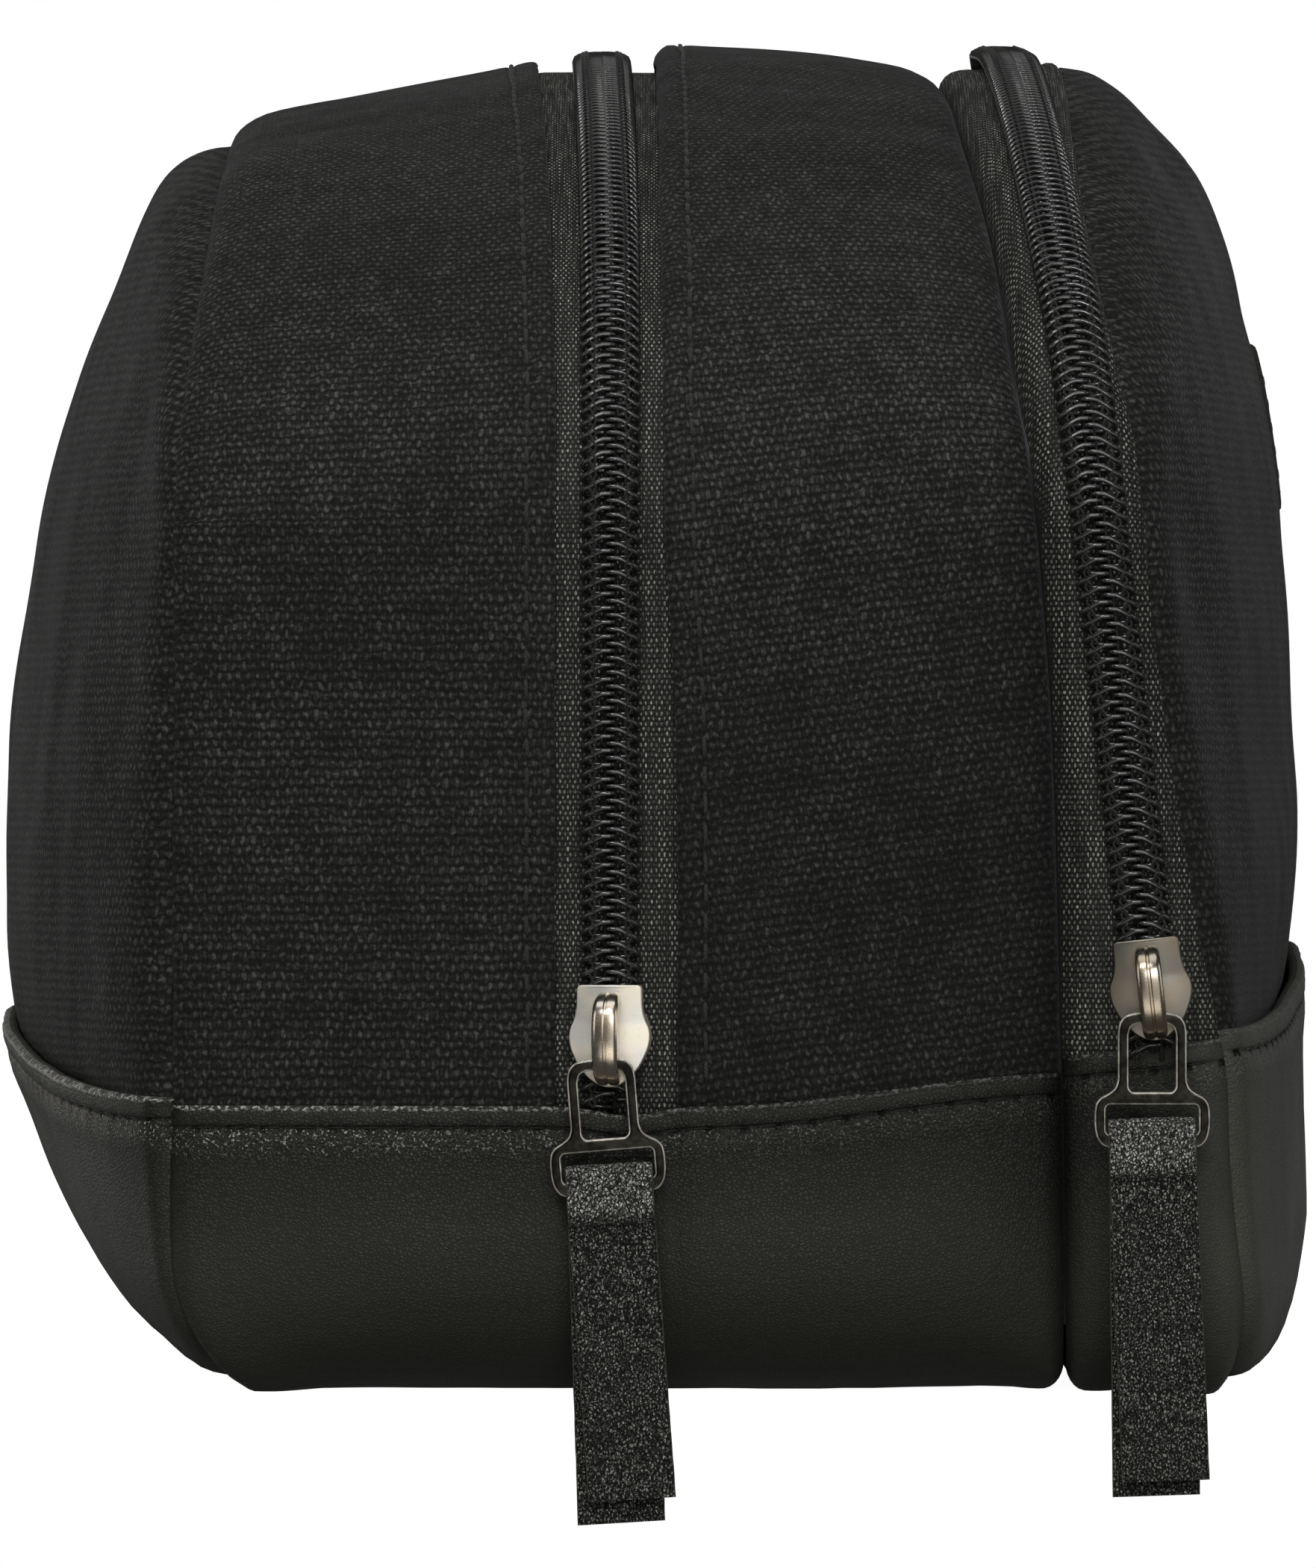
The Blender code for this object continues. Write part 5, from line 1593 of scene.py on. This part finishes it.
MAIN_PLATE = -(HALF_LENGTH + 1.0)
slider("main", MAIN_X - 0.1, 32.0, MAIN_PLATE, -(HALF_LENGTH - 2.8), 0.0, math.radians(-9), 1.7)
MAIN_PIN = (MAIN_X - 1.1, MAIN_PLATE - 1.0 - 1.6, 34.55)
link("main", *MAIN_PIN, MAIN_LEAN)
mx, mz = down(MAIN_PIN[0], MAIN_PIN[2], MAIN_LEAN, BAR)
tab("main", mx, MAIN_PIN[1], mz, math.radians(3.4), math.radians(4.2), math.radians(1.9), 32.8, 35.2, 1.3)

POCKET_PLATE = -(HALF_LENGTH + 1.6)
pz = 36.9
px = 53.0 - math.tan(POCKET_LEAN) * (pz - BAND_Z)
slider("pocket", px, pz, POCKET_PLATE, -(HALF_LENGTH - 3.0), POCKET_LEAN, math.radians(-2), 2.4)
POCKET_PIN = (px - math.sin(POCKET_LEAN) * 2.55 - 0.25, POCKET_PLATE - 1.0 - 1.6,
              pz + math.cos(POCKET_LEAN) * 2.55)
link("pocket", *POCKET_PIN, 0.0)
tab("pocket", POCKET_PIN[0], POCKET_PIN[1], POCKET_PIN[2] - BAR, math.radians(1.9), math.radians(2.3),
    math.radians(0.6), 35.6, 37.2, 4.1)

# ---------------------------------------------------------------- blank patch on the front
def patch():
    w, z0, z1 = PATCH
    ys = [-w + o for o in (0.0, 0.12, 0.4, 0.9, 1.6, 2.2, 2.8, 3.6)]
    ys = ys + lin(-w + 5, w - 5, 22) + [-v for v in reversed(ys)]
    zs = [z0 + o for o in (0.0, 0.12, 0.4, 0.9, 1.6, 2.2, 2.8, 3.6)]
    zs = zs + lin(z0 + 5, z1 - 5, 6) + [z0 + z1 - v for v in reversed(zs)]
    P = np.zeros((len(ys), len(zs), 3))
    UV = np.zeros((len(ys), len(zs), 2))
    pts, nr = [], []
    for i, y in enumerate(ys):
        for j, z in enumerate(zs):
            o = min(w - abs(y), z - z0, z1 - z)
            h = -1.15 + 0.85 * math.sqrt(max(0.0, 1 - (1 - min(1.0, o / 0.7)) ** 2)) - 0.2 * math.exp(-((o - 2.2) / 0.5) ** 2)
            h += wrinkle(front_x(y, z), y, z, 0.9)
            P[i, j] = (front_x(y, z) + h, y, z)
            UV[i, j] = (y, z)
    O = np.zeros_like(P)
    O[..., 0] = 1
    ob = surface("patch_leather", P, UV, M_LEATHER, "root", O, ["front_patch"])
    bag = Bag()
    q = 2.2
    ring = [(-w + q, z0 + q), (w - q, z0 + q), (w - q, z1 - q), (-w + q, z1 - q), (-w + q, z0 + q)]
    for (ya, za), (yb, zb) in zip(ring[:-1], ring[1:]):
        pts = []
        for k in range(40):
            y, z = ya + (yb - ya) * k / 39, za + (zb - za) * k / 39
            pts.append((front_x(y, z) - 0.48 + wrinkle(front_x(y, z), y, z, 0.9), y, z))
        stitch_row(bag, pts, [(1, 0, 0)] * 40, 2.6, 2.0, 0.2, proud=0.5, seed=ya)
    bag.make("patch_stitching", M_THREAD, "root")


patch()

# ---------------------------------------------------------------- stage, light and camera
def slab(name, lo, hi, r, colour):
    """A table slab with softly rounded edges."""
    import bmesh
    bm = bmesh.new()
    bmesh.ops.create_cube(bm, size=1.0)
    for v in bm.verts:
        v.co = Vector([lo[k] + (hi[k] - lo[k]) * (v.co[k] + 0.5) for k in range(3)])
    bmesh.ops.bevel(bm, geom=bm.edges[:], offset=r, segments=4, affect="EDGES", profile=0.5)
    me = bpy.data.meshes.new(name)
    bm.to_mesh(me)
    bm.free()
    me.shade_smooth()
    me.set_sharp_from_angle(angle=math.radians(40))
    m = Mat(name + "_paint")
    f = m.noise(m.mm(), 0.02, 2.0, 0.5)
    m.shader(Base_Color=m.mix(f, tuple(c * 0.985 for c in colour), colour), Roughness=0.9)
    m.b.inputs["Specular IOR Level"].default_value = 0.1
    m.b.inputs["Emission Color"].default_value = (1.0, 1.0, 1.0, 1.0)
    m.b.inputs["Emission Strength"].default_value = 0.97
    # the floor is pale to look at, and throws little light back under the bag
    dim = m.t.nodes.new("ShaderNodeBsdfDiffuse")
    dim.inputs[0].default_value = (0.30, 0.30, 0.30, 1.0)
    path_kind = m.t.nodes.new("ShaderNodeLightPath")
    both = m.t.nodes.new("ShaderNodeMixShader")
    m.t.links.new(path_kind.outputs["Is Camera Ray"], both.inputs[0])
    m.t.links.new(dim.outputs[0], both.inputs[1])
    m.t.links.new(m.b.outputs[0], both.inputs[2])
    out = next(n for n in m.t.nodes if n.type == "OUTPUT_MATERIAL")
    m.t.links.new(both.outputs[0], out.inputs[0])
    me.materials.append(m.m)
    ob = bpy.data.objects.new(name, me)
    COLLECTION.objects.link(ob)
    ob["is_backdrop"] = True
    return ob


slab("table", (-1.6, -0.1085, -0.008), (1.6, 2.2, 0.0), 0.0012, (0.93, 0.93, 0.93))

scene = bpy.context.scene
world = bpy.data.worlds.new("studio")
scene.world = world
world.use_nodes = True
wt = world.node_tree
wt.nodes.clear()
wo = wt.nodes.new("ShaderNodeOutputWorld")
seen = wt.nodes.new("ShaderNodeBackground")
seen.inputs[0].default_value = (1.0, 1.0, 1.0, 1)
seen.inputs[1].default_value = 1.0
fill = wt.nodes.new("ShaderNodeBackground")
fill.inputs[0].default_value = (1.0, 0.985, 0.965, 1)
fill.inputs[1].default_value = 0.06
lp = wt.nodes.new("ShaderNodeLightPath")
wm = wt.nodes.new("ShaderNodeMixShader")
wt.links.new(lp.outputs["Is Camera Ray"], wm.inputs[0])
wt.links.new(fill.outputs[0], wm.inputs[1])
wt.links.new(seen.outputs[0], wm.inputs[2])
wt.links.new(wm.outputs[0], wo.inputs[0])


def area(name, at, target, size, power, colour=(1, 1, 1)):
    li = bpy.data.lights.new(name, "AREA")
    li.shape = "RECTANGLE"
    li.size, li.size_y = size
    li.energy = power
    li.color = colour
    ob = bpy.data.objects.new(name, li)
    COLLECTION.objects.link(ob)
    ob.location = at
    ob.rotation_euler = (Vector(target) - Vector(at)).to_track_quat("-Z", "Y").to_euler()
    return ob


area("overhead", (-0.1, -0.25, 1.25), (0, -0.05, 0.05), (1.1, 0.8), 3.3)
area("left_box", (-1.15, -0.75, 0.55), (0, -0.08, 0.07), (0.5, 0.9), 1.8, (1.0, 0.99, 0.95))
area("right_box", (1.15, -0.65, 0.50), (0, -0.08, 0.07), (0.5, 0.9), 1.6, (1.0, 0.99, 0.96))
area("front_fill", (0.20, -1.75, 0.80), (0, 0, 0.06), (0.75, 0.45), 7.6)
area("front_card", (0.30, -2.20, 0.26), (0, 0, 0.06), (1.3, 1.1), 2.3, (1.0, 0.99, 0.95))
area("low_card", (0.0, -1.75, -0.55), (0, 0, 0.03), (1.2, 0.5), 3.0, (1.0, 0.995, 0.96))
area("key", (-0.25, -1.05, 1.10), (0, -0.1, 0.06), (0.20, 0.20), 3.4)

area("rim_left", (-1.15, 1.25, 0.0), (-0.05, 0.0, 0.03), (1.5, 0.9), 4.3, (1.0, 0.97, 0.92))
area("rim_right", (1.15, 1.25, 0.0), (0.05, 0.0, 0.03), (1.5, 0.9), 1.2)

cam = bpy.data.cameras.new("camera")
cam.lens = 437.0
cam.sensor_width = 36.0
cam.clip_start = 0.05
cam.clip_end = 20.0
camera = bpy.data.objects.new("camera", cam)
COLLECTION.objects.link(camera)
camera.location = (0.0, -2.125, 0.064)
camera.rotation_euler = (math.pi / 2, 0, 0)
scene.camera = camera

scene.view_settings.view_transform = "Standard"
scene.view_settings.look = "None"
scene.view_settings.exposure = 0.0
scene.view_settings.gamma = 1.0


def flat(value):
    if isinstance(value, (int, float)):
        return float(value)
    return [flat(v) for v in value]


{"cad": flat(CAD_BOX), "visual": flat(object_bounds())}
